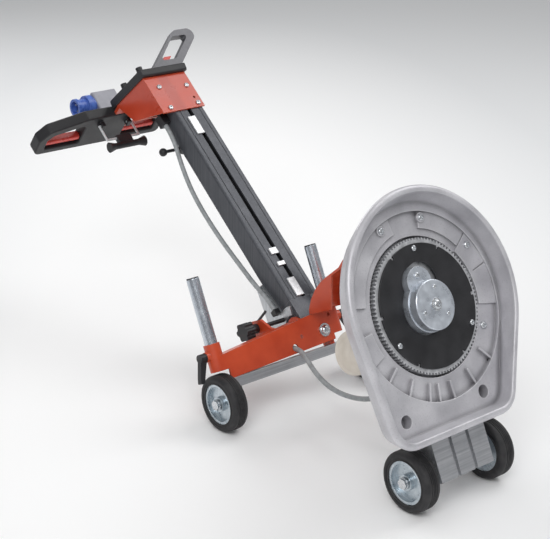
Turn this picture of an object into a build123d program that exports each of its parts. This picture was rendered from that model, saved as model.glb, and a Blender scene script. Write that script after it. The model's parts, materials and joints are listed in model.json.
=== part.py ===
from build123d import *
import math
import os

# Floor preparation machine parked on its wheels, with the tool head facing forward.
# Everything is drawn in the machine's own axes and stood up at the end.
# In the machine's axes x runs along the wheel axles, y runs back from the tool disc
# along the spindle, and z runs up along the two pull bars.

# Driving dimensions, in millimetres
HEAD_RADIUS = 216.0
HEAD_MIDDLE_TAPER = 13.0
HEAD_BACK_TAPER = 44.0
HEAD_FOOT_INSET_LEFT = 60.0
HEAD_FOOT_INSET_RIGHT = 146.0
HEAD_FOOT_RISE = 32.0
HEAD_CORNER = 56.0
HEAD_FRONT = -45.0
HEAD_MIDDLE = 8.0
HEAD_BACK = 45.0
RIM_WIDTH = 14.0
FLOOR_RADIUS = 184.0
FLOOR_Y = 10.0
DISC_RADIUS = 122.0
WELL_GAP = 6.0
HUB_X = -12.0
HUB_RADIUS = 49.0
HUB_FRONT = -33.0
HUB_SHOULDER = -12.0
LOBE_X = -17.0
LOBE_Z = 48.0
LOBE_RADIUS = 31.0
SPINDLE_RADIUS = 12.5
GEAR_TEETH = 105
PINION_TEETH = 19
GEAR_MODULE = 2.5
MOTOR_ANGLE = 15.0
MOTOR_RADIUS = 66.0
MOTOR_END = 250.0
COWL_END = 325.0
WHEEL_RADIUS = 62.0
WHEEL_WIDTH = 38.0
AXLE_RADIUS = 8.0
REAR_AXLE_Y = 510.0
REAR_AXLE_Z = -97.0
REAR_TRACK_HALF = 208.0
REAR_MIDDLE = 37.0
FRONT_AXLE_Y = 67.0
FRONT_AXLE_Z = -310.0
FRONT_TRACK_HALF = 105.0
BEAM_Y = 487.0
BEAM_PLATE = 5.0
BEAM_FLANGE = 35.0
BAR_X = 166.0
BAR_Y = 505.0
BAR_RADIUS = 14.0
BAR_TOP = 174.0
SOCKET_RADIUS = 18.0
SOCKET_LOW = -30.0
SOCKET_HIGH = 30.0
HINGE_X = 125.0
HINGE_Y = 526.0
HINGE_Z = 0.0
COLUMN_LEAN = 24.65
COLUMN_WIDTH = 84.0
COLUMN_DEPTH = 58.0
COLUMN_LOW = 62.0
COLUMN_HIGH = 714.0
FOOT_WIDTH = 60.0
PIN_RADIUS = 8.0
BRACKET_LEFT = -75.0
BRACKET_HEIGHT = 107.0
BRACKET_PLATE = 4.0
SLAB_THICK = 20.0
SLAB_LENGTH = 172.0
HANDLE_X = -90.0
HANDLE_THICK = 30.0
HANDLE_HALF = 184.0
HANDLE_FRONT = 131.0
HANDLE_BACK = 240.0
CABLE_RADIUS = 5.5
RUN_FIT = 0.05
GAP = 0.4

HEAD_FOOT_LEFT = HEAD_FOOT_INSET_LEFT - HEAD_RADIUS
HEAD_FOOT_RIGHT = HEAD_RADIUS - HEAD_FOOT_INSET_RIGHT
HEAD_FOOT_Z = HEAD_FOOT_RISE - HEAD_RADIUS
HALF_W = COLUMN_WIDTH / 2
HALF_D = COLUMN_DEPTH / 2
FOOT_LEFT = -HALF_W
FOOT_RIGHT = FOOT_LEFT + FOOT_WIDTH
BRACKET_HIGH = COLUMN_HIGH + BRACKET_PLATE
BRACKET_LOW = BRACKET_HIGH - BRACKET_HEIGHT
HANDLE_LOW = BRACKET_HIGH + SLAB_THICK
GEAR_PITCH = GEAR_TEETH * GEAR_MODULE / 2
PINION_PITCH = PINION_TEETH * GEAR_MODULE / 2
MOTOR_REACH = GEAR_PITCH + PINION_PITCH + 0.25
MOTOR_X = MOTOR_REACH * math.cos(math.radians(MOTOR_ANGLE))
MOTOR_Z = MOTOR_REACH * math.sin(math.radians(MOTOR_ANGLE))
LEAN = math.degrees(math.atan2(REAR_AXLE_Z - FRONT_AXLE_Z, REAR_AXLE_Y - FRONT_AXLE_Y))

COLUMN = Plane(
    origin=(HINGE_X, HINGE_Y, HINGE_Z),
    x_dir=(1, 0, 0),
    z_dir=(0, math.sin(math.radians(COLUMN_LEAN)), math.cos(math.radians(COLUMN_LEAN))),
).location

nodes = {}


def block(x0, x1, y0, y1, z0, z1):
    """A box between two corners."""
    size = Box(x1 - x0, y1 - y0, z1 - z0)
    return Pos((x0 + x1) / 2, (y0 + y1) / 2, (z0 + z1) / 2) * size


def rod_x(radius, x0, x1, y, z):
    """A round bar along x."""
    return Pos((x0 + x1) / 2, y, z) * Rot(Y=90) * Cylinder(radius, x1 - x0)


def rod_y(radius, y0, y1, x, z):
    """A round bar along y."""
    return Pos(x, (y0 + y1) / 2, z) * Rot(X=90) * Cylinder(radius, y1 - y0)


def rod_z(radius, z0, z1, x, y):
    """A round bar along z."""
    return Pos(x, y, (z0 + z1) / 2) * Cylinder(radius, z1 - z0)


def along_y(sketch, y0, y1):
    """A sketch in x and z, drawn out from y0 back to y1."""
    return extrude(Plane.XZ.offset(-y1) * sketch, amount=y1 - y0)


def along_x(sketch, x0, x1):
    """A sketch in y and z, drawn out from x0 to x1."""
    return extrude(Plane.YZ.offset(x0) * sketch, amount=x1 - x0)


def flip(shape):
    """The same piece on the other side of the machine."""
    return mirror(shape, about=Plane.YZ)


def flip_rear(shape):
    """The same piece on the other side of the rear frame's own middle."""
    return mirror(shape, about=Plane.YZ.offset(REAR_MIDDLE))


def dome_screw(radius, y, x, z, height):
    """A dome screw head standing forward from the plane at y."""
    head = rod_y(radius, y - height, y, x, z)
    front = head.faces().sort_by(Axis.Y)[0]
    return fillet(front.edges(), height * 0.7)


def sector(inner, outer, start, stop):
    """Part of a flat ring between two angles."""
    reach = outer * 1.6
    corners = [(0, 0)]
    for step in range(5):
        angle = math.radians(start + (stop - start) * step / 4)
        corners.append((reach * math.cos(angle), reach * math.sin(angle)))
    return (Circle(outer) - Circle(inner)) & make_face(Polyline(*corners, close=True))


def head_outline(x, z, radius, left, right, low, corner):
    """A round outline with two rounded corners below it."""
    edges = [
        (Pos(x, z) * Circle(radius)).edge(),
        (Pos(left, low) * Circle(corner)).edge(),
        (Pos(right, low) * Circle(corner)).edge(),
    ]
    return make_hull(edges)


def between(first, y0, second, y1):
    """A solid with straight sides from one outline at y0 to another at y1."""
    return loft([Plane.XZ.offset(-y0) * first, Plane.XZ.offset(-y1) * second], ruled=True)


# Tool head: a deep cast dish with a rounded rim, a round floor, a gear well and a bearing boss
middle_radius = HEAD_RADIUS - HEAD_MIDDLE_TAPER
back_radius = HEAD_RADIUS - HEAD_BACK_TAPER
rim_line = head_outline(-12, 14, HEAD_RADIUS, HEAD_FOOT_LEFT, HEAD_FOOT_RIGHT, HEAD_FOOT_Z, HEAD_CORNER)
middle_line = head_outline(
    -4, 8, middle_radius, HEAD_FOOT_LEFT + 10, HEAD_FOOT_RIGHT + 14, HEAD_FOOT_Z, HEAD_CORNER - 10
)
back_line = head_outline(
    -2, 6, back_radius, HEAD_FOOT_LEFT + 36, HEAD_FOOT_RIGHT - 4, HEAD_FOOT_Z + 14, HEAD_CORNER - 34
)
lip_back = HEAD_FRONT + 9.0
ledge_y = 0.0
lip = along_y(rim_line, HEAD_FRONT, lip_back)
lip = fillet(lip.faces().sort_by(Axis.Y)[0].edges(), 8.0)
casting = lip + between(rim_line, lip_back, middle_line, HEAD_MIDDLE)
casting += between(middle_line, HEAD_MIDDLE, back_line, HEAD_BACK)
dish = between(offset(rim_line, -RIM_WIDTH), HEAD_FRONT, offset(middle_line, -8.0), ledge_y)
casting -= dish
front_ring = casting.faces().sort_by(Axis.Y)[0]
casting = fillet(front_ring.inner_wires()[0].edges(), 3.5)
casting -= rod_y(FLOOR_RADIUS, ledge_y - 1, FLOOR_Y, 0, 0)
well_floor = FLOOR_Y + 24.0
casting -= rod_y(GEAR_PITCH + WELL_GAP, FLOOR_Y - 1, well_floor, 0, 0)
casting -= rod_y(PINION_PITCH + 7.0, FLOOR_Y - 1, well_floor, MOTOR_X, MOTOR_Z)
casting += rod_y(48.0, HEAD_BACK - 2, 95.0, 0, 0)
motor_seat = HEAD_BACK + 7.0
motor_pad = rod_y(78.0, HEAD_BACK - 30.0, motor_seat, MOTOR_X, MOTOR_Z)
motor_pad -= rod_y(GEAR_PITCH + WELL_GAP, FLOOR_Y, well_floor, 0, 0)
motor_pad -= rod_y(PINION_PITCH + 7.0, FLOOR_Y, well_floor, MOTOR_X, MOTOR_Z)
casting += motor_pad
casting -= rod_y(26.0, well_floor - 1, 88.0, 0, 0)
casting -= rod_y(20.0, well_floor - 1, motor_seat + 1, MOTOR_X, MOTOR_Z)
floor_inner = GEAR_PITCH + 20.0
for start, stop in ((38, 77), (102, 168), (186, 205)):
    casting += along_y(sector(floor_inner, FLOOR_RADIUS + 1, start, stop), 5.0, FLOOR_Y + 1)
for angle in (218, 235, 251, 259, 271, 291, 312):
    rib = block(floor_inner - 2.0, FLOOR_RADIUS + 1, 2.0, FLOOR_Y + 1, -2, 2)
    casting += Rot(Y=-angle) * rib
upper_bosses = [(-64.0, 161.0), (44.0, 166.0)]
for x, z in upper_bosses:
    casting += rod_y(10.0, 2.0, FLOOR_Y + 1, x, z)
for x in (HEAD_FOOT_LEFT + 22.0, HEAD_FOOT_RIGHT + 6.0):
    casting -= rod_y(13.0, ledge_y - 1, 24.0, x, HEAD_FOOT_Z - 8.0)
casting -= rod_y(4.0, FLOOR_Y - 1, 24.0, 122.0, -141.0)
nodes["head_casting"] = casting

# Two bearing rings pressed into the boss
bearings = []
for y in (42.0, 66.0):
    ring = rod_y(26.0, y, y + 18.0, 0, 0) - rod_y(SPINDLE_RADIUS + RUN_FIT, y - 1, y + 19.0, 0, 0)
    bearings.append(ring)
nodes["spindle_bearings"] = bearings


def toothed(pitch, count, tip, root, turn):
    """A gear outline with straight-sided teeth, one of them at the given angle."""
    points = []
    step = 360.0 / count
    for index in range(count):
        middle = turn + index * step
        for radius, shift in ((root, -0.30), (tip, -0.13), (tip, 0.13), (root, 0.30)):
            angle = math.radians(middle + shift * step)
            points.append((radius * math.cos(angle), radius * math.sin(angle)))
    return make_face(Polyline(*points, close=True))


# Ring gear behind the disc, with a thick rim and a thin web
gear_front = 4.0
gear_back = 18.0
gear_turn = MOTOR_ANGLE + 180.0 / GEAR_TEETH
gear_line = toothed(GEAR_PITCH, GEAR_TEETH, GEAR_PITCH + 1.4, GEAR_PITCH - 2.6, gear_turn)
gear = along_y(gear_line, gear_front, gear_back)
gear -= rod_y(104.0, gear_front - 1, gear_back - 7.0, 0, 0)
gear -= rod_y(SPINDLE_RADIUS, gear_front - 1, gear_back + 1, 0, 0)
nodes["ring_gear"] = gear

# Black cover disc with a notched edge and an opening round the hub and its lobe
disc = rod_y(DISC_RADIUS, 0.0, gear_front, 0, 0)
disc -= rod_y(HUB_RADIUS + 5.0, -1, gear_front + 1, HUB_X, 0)
disc -= rod_y(LOBE_RADIUS + 3.0, -1, gear_front + 1, LOBE_X, LOBE_Z)
disc -= rod_y(LOBE_RADIUS + 10.0, -1, gear_front + 1, LOBE_X + 15.0, LOBE_Z - 2.0)
for index in range(6):
    notch = block(DISC_RADIUS - 6, DISC_RADIUS + 2, -1, gear_front + 1, -3, 3)
    disc -= Rot(Y=-(60.0 * index - 2.0)) * notch
nodes["cover_disc"] = disc
cover_screws = []
screw_circle = DISC_RADIUS - 9.0
for angle in (89.0, 209.0, 329.0):
    x = screw_circle * math.cos(math.radians(angle))
    z = screw_circle * math.sin(math.radians(angle))
    cover_screws.append(dome_screw(6.0, 0.0, x, z, 4.0))
nodes["cover_screws"] = cover_screws

# Eccentric drive hub with its side lobe and the spindle behind it
web_front = gear_back - 7.0
hub = rod_y(HUB_RADIUS, HUB_FRONT, web_front, HUB_X, 0)
hub = fillet(hub.faces().sort_by(Axis.Y)[0].edges(), 3.0)
hub += rod_y(HUB_RADIUS + 2.0, HUB_SHOULDER, web_front, HUB_X, 0)
hub += rod_y(LOBE_RADIUS, HUB_SHOULDER, web_front, LOBE_X, LOBE_Z)
hub += rod_y(SPINDLE_RADIUS, web_front - 1, 86.0, 0, 0)
nodes["drive_hub"] = hub
centre_screw = rod_y(13.0, HUB_FRONT - 2.5, HUB_FRONT, HUB_X, 0)
centre_screw += dome_screw(9.0, HUB_FRONT - 2.0, HUB_X, 0, 6.0)
lobe_screw = dome_screw(6.0, HUB_SHOULDER, LOBE_X - 3.0, LOBE_Z + 14.0, 4.0)
nodes["hub_bolts"] = [centre_screw, lobe_screw]

# Motor beside the spindle, with cooling fins, a fan cowl and its pinion shaft
motor = rod_y(78.0, motor_seat, motor_seat + 10.0, 0, 0)
motor += rod_y(MOTOR_RADIUS, motor_seat, MOTOR_END, 0, 0)
for index in range(18):
    fin = block(MOTOR_RADIUS - 3, 75.0, motor_seat + 22.0, MOTOR_END - 6.0, -1.6, 1.6)
    motor += Rot(Y=-20.0 * index) * fin
motor -= rod_y(9.0 + RUN_FIT, motor_seat - 1, 206.0, 0, 0)
nodes["motor_body"] = Pos(MOTOR_X, 0, MOTOR_Z) * motor
cowl = rod_y(73.0, MOTOR_END, COWL_END, 0, 0)
cowl = fillet(cowl.faces().sort_by(Axis.Y)[-1].edges(), 10.0)
for index in range(8):
    vent = block(22.0, 54.0, COWL_END - 6.0, COWL_END + 1, -4, 4)
    cowl -= Rot(Y=-45.0 * index) * vent
nodes["motor_cowl"] = Pos(MOTOR_X, 0, MOTOR_Z) * cowl
pinion_turn = MOTOR_ANGLE + 180.0
pinion_line = toothed(PINION_PITCH, PINION_TEETH, PINION_PITCH + 0.7, PINION_PITCH - 2.6, pinion_turn)
pinion_front = gear_front + 4.0
pinion = along_y(pinion_line, pinion_front, gear_back)
pinion += rod_y(9.0, gear_back - 1, 204.0, 0, 0)
nodes["motor_pinion"] = Pos(MOTOR_X, 0, MOTOR_Z) * pinion

# Flat cover over the pinion, a sector of the floor with a scored line across it
cover_front = gear_front
cover_line = sector(GEAR_PITCH + WELL_GAP, FLOOR_RADIUS - GAP, -12.0, 37.5)
pinion_cover = along_y(cover_line, cover_front, FLOOR_Y)
pinion_cover -= rod_y(PINION_PITCH + 1.6, pinion_front - 1.0, FLOOR_Y + 1, MOTOR_X, MOTOR_Z)
score = block(GEAR_PITCH + 16.0, FLOOR_RADIUS, cover_front - 1, cover_front + 1.5, -1.2, 1.2)
pinion_cover -= Rot(Y=-14.6) * score
nodes["pinion_cover"] = pinion_cover
casting_screws = [dome_screw(7.0, 2.0, x, z, 4.0) for x, z in upper_bosses]
casting_screws.append(dome_screw(8.0, cover_front, 144.5, 89.0, 5.0))
casting_screws.append(dome_screw(8.0, FLOOR_Y, 134.0, -72.0, 5.0))
nodes["casting_screws"] = casting_screws

# Junction box on the back of the casting
box_back = 98.0
box = block(-6.0, 74.0, HEAD_BACK, box_back, -158.0, -96.0)
box = fillet(box.edges().filter_by(Axis.Y), 8.0)
nodes["junction_box"] = box

# Round dust port on the back of the casting
PORT_X = -126.0
PORT_Z = -48.0
PORT_RADIUS = 44.0
PORT_WALL = 6.0
port = rod_y(PORT_RADIUS, HEAD_BACK, 105.0, PORT_X, PORT_Z)
port -= rod_y(PORT_RADIUS - PORT_WALL, HEAD_BACK + 8.0, 106.0, PORT_X, PORT_Z)
port = fillet(port.faces().sort_by(Axis.Y)[-1].edges(), 2.0)
nodes["dust_port"] = port

# Ribbed aluminium bracket under the head, with the front axle through it
carrier_left = -78.0
carrier_right = 66.0
carrier_high = HEAD_FOOT_Z - 18.0
carrier = block(carrier_left, carrier_right, 14.0, 86.0, FRONT_AXLE_Z - 18.0, carrier_high)
for x in (-34.0, 13.0):
    carrier -= block(x, x + 9.0, 13.0, 22.0, FRONT_AXLE_Z - 19.0, carrier_high + 1)
carrier -= rod_x(AXLE_RADIUS, carrier_left - 1, carrier_right + 1, FRONT_AXLE_Y, FRONT_AXLE_Z)
carrier -= casting
nodes["wheel_bracket"] = carrier
front_end = FRONT_TRACK_HALF + WHEEL_WIDTH / 2
front_axle = rod_x(AXLE_RADIUS, -front_end, front_end, FRONT_AXLE_Y, FRONT_AXLE_Z)
rear_left = REAR_MIDDLE - REAR_TRACK_HALF
rear_out = rear_left - WHEEL_WIDTH / 2
rear_in = rear_left + WHEEL_WIDTH / 2
rear_axle = rod_x(AXLE_RADIUS, rear_out, rear_in + 24.0, REAR_AXLE_Y, REAR_AXLE_Z)
nodes["axles"] = [front_axle, rear_axle, flip_rear(rear_axle)]
nut_front = rod_x(12.0, -front_end - 7.0, -front_end, FRONT_AXLE_Y, FRONT_AXLE_Z)
nut_rear = rod_x(12.0, rear_out - 7.0, rear_out, REAR_AXLE_Y, REAR_AXLE_Z)
inner = FRONT_TRACK_HALF - WHEEL_WIDTH / 2
spacers = []
for x0, x1 in ((-inner + GAP, carrier_left), (carrier_right, inner - GAP)):
    spacer = rod_x(13.0, x0, x1, FRONT_AXLE_Y, FRONT_AXLE_Z)
    spacers.append(spacer - rod_x(AXLE_RADIUS, x0 - 1, x1 + 1, FRONT_AXLE_Y, FRONT_AXLE_Z))
nodes["axle_hardware"] = [nut_front, flip(nut_front), nut_rear, flip_rear(nut_rear)] + spacers


def wheel(side, x, y, z):
    """A rubber tyre and the dished rim inside it, on one side of the machine."""
    half = WHEEL_WIDTH / 2
    bore = 44.0
    tyre = rod_x(WHEEL_RADIUS, -half, half, 0, 0)
    tyre = fillet(tyre.edges(), 9.0)
    tyre -= rod_x(bore, -half - 1, half + 1, 0, 0)
    rim = rod_x(bore, -half + 2, half - 2, 0, 0)
    rim -= rod_x(38.0, -half, -half + 12.0, 0, 0) - rod_x(16.0, -half, -half + 12.0, 0, 0)
    rim -= rod_x(AXLE_RADIUS + RUN_FIT, -half - 1, half + 1, 0, 0)
    if side > 0:
        tyre = flip(tyre)
        rim = flip(rim)
    place = Pos(x, y, z)
    return place * tyre, place * rim


for name, side, x, y, z in (
    ("front_left", -1, -FRONT_TRACK_HALF, FRONT_AXLE_Y, FRONT_AXLE_Z),
    ("front_right", 1, FRONT_TRACK_HALF, FRONT_AXLE_Y, FRONT_AXLE_Z),
    ("rear_left", -1, REAR_MIDDLE - REAR_TRACK_HALF, REAR_AXLE_Y, REAR_AXLE_Z),
    ("rear_right", 1, REAR_MIDDLE + REAR_TRACK_HALF, REAR_AXLE_Y, REAR_AXLE_Z),
):
    nodes[name + "_tyre"], nodes[name + "_rim"] = wheel(side, x, y, z)

# Cross beam: a folded plate with two bar sockets, two hinge ears and the tab of the tilt clamp
beam_back = BEAM_Y + BEAM_FLANGE
web_line = make_face(
    Polyline(
        (-150, -52), (150, -43), (150, SOCKET_LOW), (BAR_X, SOCKET_LOW), (BAR_X, 26),
        (100, 26), (-BAR_X, 2), (-BAR_X, SOCKET_LOW), (-150, SOCKET_LOW), close=True,
    )
)
beam = along_y(web_line, BEAM_Y, BEAM_Y + BEAM_PLATE)
top_edge = make_face(Polyline((-150, 3.5), (70, 23.3), (70, 18.3), (-150, -1.5), close=True))
low_edge = make_face(Polyline((-150, -52), (150, -43), (150, -38), (-150, -47), close=True))
beam += along_y(top_edge, BEAM_Y + 2, beam_back)
beam += along_y(low_edge, BEAM_Y + 2, beam_back)
beam += block(138.0, 150.0, BEAM_Y + 8.0, beam_back, -52.0, -40.0)
ear_line = make_hull(
    [
        (Pos(HINGE_Y, HINGE_Z) * Circle(30.0)).edge(),
        (Pos(BEAM_Y + 4.0, -36.0) * Circle(3.0)).edge(),
        (Pos(BEAM_Y + 4.0, 12.0) * Circle(3.0)).edge(),
    ]
)
ear_left = HINGE_X + FOOT_LEFT - GAP
ear_right = HINGE_X + FOOT_RIGHT + GAP
beam += along_x(ear_line, ear_left - 4.0, ear_left)
beam += along_x(ear_line, ear_right, ear_right + 4.0)
tab_line = make_face(Polyline((490, 8), (578, 8), (578, 46), (540, 46), (514, 24), (490, 16), close=True))
beam += along_x(tab_line, 0.0, 6.0)
CLAMP_Y = 560.0
CLAMP_Z = 29.0
boss_z = 6.0
for side in (-1, 1):
    beam += rod_z(SOCKET_RADIUS, SOCKET_LOW, SOCKET_HIGH, side * BAR_X, BAR_Y)
    low = min(side * BAR_X, side * (BAR_X + 24.0))
    beam += rod_x(11.0, low, low + 24.0, BAR_Y, boss_z)
for side in (-1, 1):
    beam -= rod_z(BAR_RADIUS + RUN_FIT, SOCKET_LOW - 1, SOCKET_HIGH + 1, side * BAR_X, BAR_Y)
    low = min(side * (BAR_X + 12.0), side * (BAR_X + 26.0))
    beam -= rod_x(5.0 + RUN_FIT, low, low + 14.0, BAR_Y, boss_z)
beam -= rod_x(PIN_RADIUS, ear_left - 5.0, ear_right + 5.0, HINGE_Y, HINGE_Z)
beam -= rod_x(5.0 + RUN_FIT, -1.0, 7.0, CLAMP_Y, CLAMP_Z)
beam -= rod_y(4.0, BEAM_Y - 1, BEAM_Y + BEAM_PLATE + 1, 59.0, -15.0)
beam -= rod_y(4.0, BEAM_Y - 1, BEAM_Y + BEAM_PLATE + 1, 148.0, 15.0)
beam -= rod_y(CABLE_RADIUS + 3.0, BEAM_Y - 1, BEAM_Y + BEAM_PLATE + 1, 34.0, -34.0)
nodes["cross_beam"] = beam
nodes["hinge_pin"] = rod_x(PIN_RADIUS, ear_left - 4.0, ear_right + 4.0, HINGE_Y, HINGE_Z)
lock_pin = Pos(3.0, 548.0, 46.0) * Rot(Y=60) * rod_z(3.0, -6.0, 28.0, 0, 0)
nodes["lock_pin"] = lock_pin - block(-20.0, 20.0, 540.0, 560.0, 30.0, 46.0)

# Silver cross bar under the beam, with a block and an axle at each end
tube_y = BEAM_Y - 5.0
bar_left = rear_in + 2.0
nodes["cross_bar"] = block(bar_left, 2 * REAR_MIDDLE - bar_left, tube_y, tube_y + 34.0, -73.0, -52.0)
axle_block = block(bar_left, bar_left + 24.0, REAR_AXLE_Y - 14.0, REAR_AXLE_Y + 5.0, -84.0, -73.0)
axle_block += block(bar_left, bar_left + 24.0, REAR_AXLE_Y - 14.0, REAR_AXLE_Y + 14.0, -112.0, -80.0)
axle_block -= rod_x(AXLE_RADIUS, bar_left - 1, bar_left + 25.0, REAR_AXLE_Y, REAR_AXLE_Z)
nodes["axle_blocks"] = [axle_block, flip_rear(axle_block)]

# Arched yoke from the beam forward over the motor to the back of the casting
arch_high = MOTOR_Z + 85.0
arch_curve = [(328, 0), (350, -14), (380, -22), (403, -28), (425, -36), (448, -48), (472, -67), (489, -88)]
arch_under = [(484, -90), (468, -70), (445, -52), (423, -41), (401, -33), (379, -27), (348, -19), (326, -5)]
arch_points = [(HEAD_BACK, arch_high)]
arch_points += [(y, arch_high + drop) for y, drop in arch_curve]
arch_points += [(BEAM_Y + 5, 26), (BEAM_Y, 26)]
arch_points += [(y, arch_high + drop) for y, drop in arch_under]
arch_points += [(HEAD_BACK, arch_high - 5)]
yoke = along_x(make_face(Polyline(*arch_points, close=True)), 100.0, 184.0)
cheek_points = [(y - 1, arch_high + drop - 2) for y, drop in arch_curve[2:]]
cheek_points += [(BEAM_Y + 2, 26), (414, 26), (398, 60)]
cheek_line = make_face(Polyline(*cheek_points, close=True))
yoke += along_x(cheek_line, 100.0, 104.0)
yoke += along_x(cheek_line, 180.0, 184.0)
yoke += block(60.0, 150.0, HEAD_BACK, HEAD_BACK + 6.0, arch_high - 5.0, arch_high + 24.0)
yoke -= rod_z(SOCKET_RADIUS + 1.0, 20.0, 90.0, BAR_X, BAR_Y)
nodes["motor_yoke"] = yoke

# Pivot bolt on the beam, and the heads that hold the yoke and the motor
big_bolt = rod_y(15.0, BEAM_Y - 4.0, BEAM_Y, 124.0, -16.0)
big_bolt += dome_screw(11.0, BEAM_Y - 3.0, 124.0, -16.0, 9.0)
frame_bolts = [big_bolt]
for x in (76.0, 116.0):
    frame_bolts.append(rod_y(7.0, HEAD_BACK + 6.0, HEAD_BACK + 12.0, x, arch_high + 14.0))
for angle in (45.0, 135.0, 225.0, 315.0):
    x = MOTOR_X + 72.0 * math.cos(math.radians(angle))
    z = MOTOR_Z + 72.0 * math.sin(math.radians(angle))
    frame_bolts.append(rod_y(5.0, motor_seat + 10.0, motor_seat + 17.0, x, z))
nodes["frame_bolts"] = frame_bolts

# Pull bars that slide in the sockets, and the levers that clamp them
bar = rod_z(BAR_RADIUS, SOCKET_LOW + 2.0, BAR_TOP, -BAR_X, BAR_Y)
bar = fillet(bar.edges(), 1.5)
nodes["left_pull_bar"] = bar
nodes["right_pull_bar"] = flip(bar)
boss_end = -BAR_X - 24.0
arm_line = make_face(
    Polyline(
        (-204, 12), (-192.5, 12), (-193.5, -4), (-208, -36),
        (-211, -46), (-222, -44), (-219, -32), close=True,
    )
)
lever = along_y(arm_line, BAR_Y - 6.0, BAR_Y + 6.0)
lever = fillet(lever.edges().filter_by(Axis.Y), 2.0)
lever += rod_x(10.0, -206.0, boss_end - GAP, BAR_Y, boss_z)
lever += rod_x(5.0, -200.0, -BAR_X - BAR_RADIUS - 0.6, BAR_Y, boss_z)
nodes["left_clamp_lever"] = lever
nodes["right_clamp_lever"] = flip(lever)

# Star knob and screw that press on the tilt plate
knob_line = Circle(17.0)
for index in range(6):
    knob_line += Rot(Z=60.0 * index) * Pos(15.5, 0) * Circle(6.0)
knob = Pos(0, CLAMP_Y, CLAMP_Z) * along_x(knob_line, -42.0, -18.0)
knob += rod_x(11.0, -19.0, -GAP, CLAMP_Y, CLAMP_Z)
plate_left = HINGE_X - HALF_W - 6.0
knob += rod_x(5.0, -2.0, plate_left - GAP, CLAMP_Y, CLAMP_Z)
nodes["star_knob"] = knob

# Column: an extruded profile with a slot down its front, drawn upright and tilted with its foot
profile = RectangleRounded(COLUMN_WIDTH, COLUMN_DEPTH, 5.0)
profile -= Pos(0, -HALF_D + 3.0) * Rectangle(12.0, 8.0)
profile -= Pos(0, -HALF_D + 10.0) * Rectangle(24.0, 10.0)
for x in (-28.0, 28.0):
    profile -= Pos(x, -HALF_D) * Rectangle(4.0, 3.0)
profile -= Pos(0, 8.0) * RectangleRounded(COLUMN_WIDTH - 16.0, COLUMN_DEPTH - 34.0, 4.0)
mast = Pos(0, 0, COLUMN_LOW) * extrude(profile, amount=COLUMN_HIGH - COLUMN_LOW)
strip = block(-11.0, 11.0, -HALF_D + 12.5, -HALF_D + 15.0, COLUMN_LOW + 2, BRACKET_LOW + 40.0)
knuckle = rod_x(HALF_D, FOOT_LEFT, FOOT_RIGHT, 0, 0)
knuckle += block(FOOT_LEFT, FOOT_RIGHT, -HALF_D, HALF_D, 0, COLUMN_LOW)
knuckle -= rod_x(PIN_RADIUS + RUN_FIT, FOOT_LEFT - 1, FOOT_RIGHT + 1, 0, 0)
clips = []
for low, high in ((537.0, 588.0), (182.0, 198.0), (150.0, 160.0), (66.0, 114.0)):
    clips.append(block(-18.0, 2.0, -HALF_D - 4.0, -HALF_D, low, high))
clamp_ring = Circle(56.0) - Circle(35.0)
clamp_side = make_face(Polyline((0, 0), (90, 38), (90, 90), (-45, 90), close=True))
gusset = make_face(Polyline((10, 40), (24, 140), (46, 140), (80, 48), (50, 30), close=True))
tilt_plate = along_x((clamp_ring & clamp_side) + gusset, -HALF_W - 6.0, -HALF_W)
upper_gland = block(-HALF_W - 20.0, -HALF_W, 2.0, 26.0, 606.0, 634.0)
lower_gland = block(-HALF_W - 20.0, -HALF_W - 6.0, 12.0, 28.0, 58.0, 70.0)

# Orange bracket round the top of the column
front_face = -HALF_D - BRACKET_PLATE
rear_high = BRACKET_HIGH + 33.0
rear_low = BRACKET_LOW + 66.0
slope = math.degrees(math.atan2(rear_high - BRACKET_HIGH, 111.0 - front_face))
side_line = make_face(
    Polyline(
        (front_face, BRACKET_LOW), (front_face, BRACKET_HIGH), (111, rear_high), (81, rear_low), close=True,
    )
)
bracket = along_x(side_line, BRACKET_LEFT, BRACKET_LEFT + BRACKET_PLATE)
bracket += along_x(side_line, HALF_W, HALF_W + BRACKET_PLATE)
bracket += block(BRACKET_LEFT, HALF_W + BRACKET_PLATE, front_face, -HALF_D, BRACKET_LOW, BRACKET_HIGH)
rear_line = make_face(
    Polyline((81, rear_low), (111, rear_high), (106.5, rear_high - 1.1), (77, rear_low), close=True)
)
bracket += along_x(rear_line, BRACKET_LEFT, HALF_W + BRACKET_PLATE)
bracket_right = HALF_W + BRACKET_PLATE
bracket += block(BRACKET_LEFT, bracket_right, 107.0, HANDLE_FRONT, rear_high - 11.0, rear_high - 2.0)
bracket -= rod_y(3.5, front_face - 1, -HALF_D + 1, 31.0, BRACKET_LOW + 29.0)
screws = []
for x, lift in ((-47.0, 74.0), (29.0, 66.0), (32.0, 11.0), (-49.0, 11.0)):
    screws.append(dome_screw(6.5, front_face, x, BRACKET_LOW + lift, 4.5))
lever_stud = rod_y(6.0, HALF_D, HALF_D + 36.0, -15.0, 555.0)

# Black console slab on the sloping top of the bracket, with two knobs
top_place = Pos(0, front_face, BRACKET_HIGH) * Rot(X=slope)
slab = block(BRACKET_LEFT - 4.0, HALF_W + BRACKET_PLATE + 4.0, -10.0, SLAB_LENGTH - 10.0, 0.0, SLAB_THICK)
slab = fillet(slab.edges().filter_by(Axis.X), 5.0)
slab = top_place * slab
slab_knobs = []
for y in (12.0, 96.0):
    slab_knobs.append(top_place * rod_z(8.0, SLAB_THICK, SLAB_THICK + 13.0, BRACKET_LEFT + 8.0, y))

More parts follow.
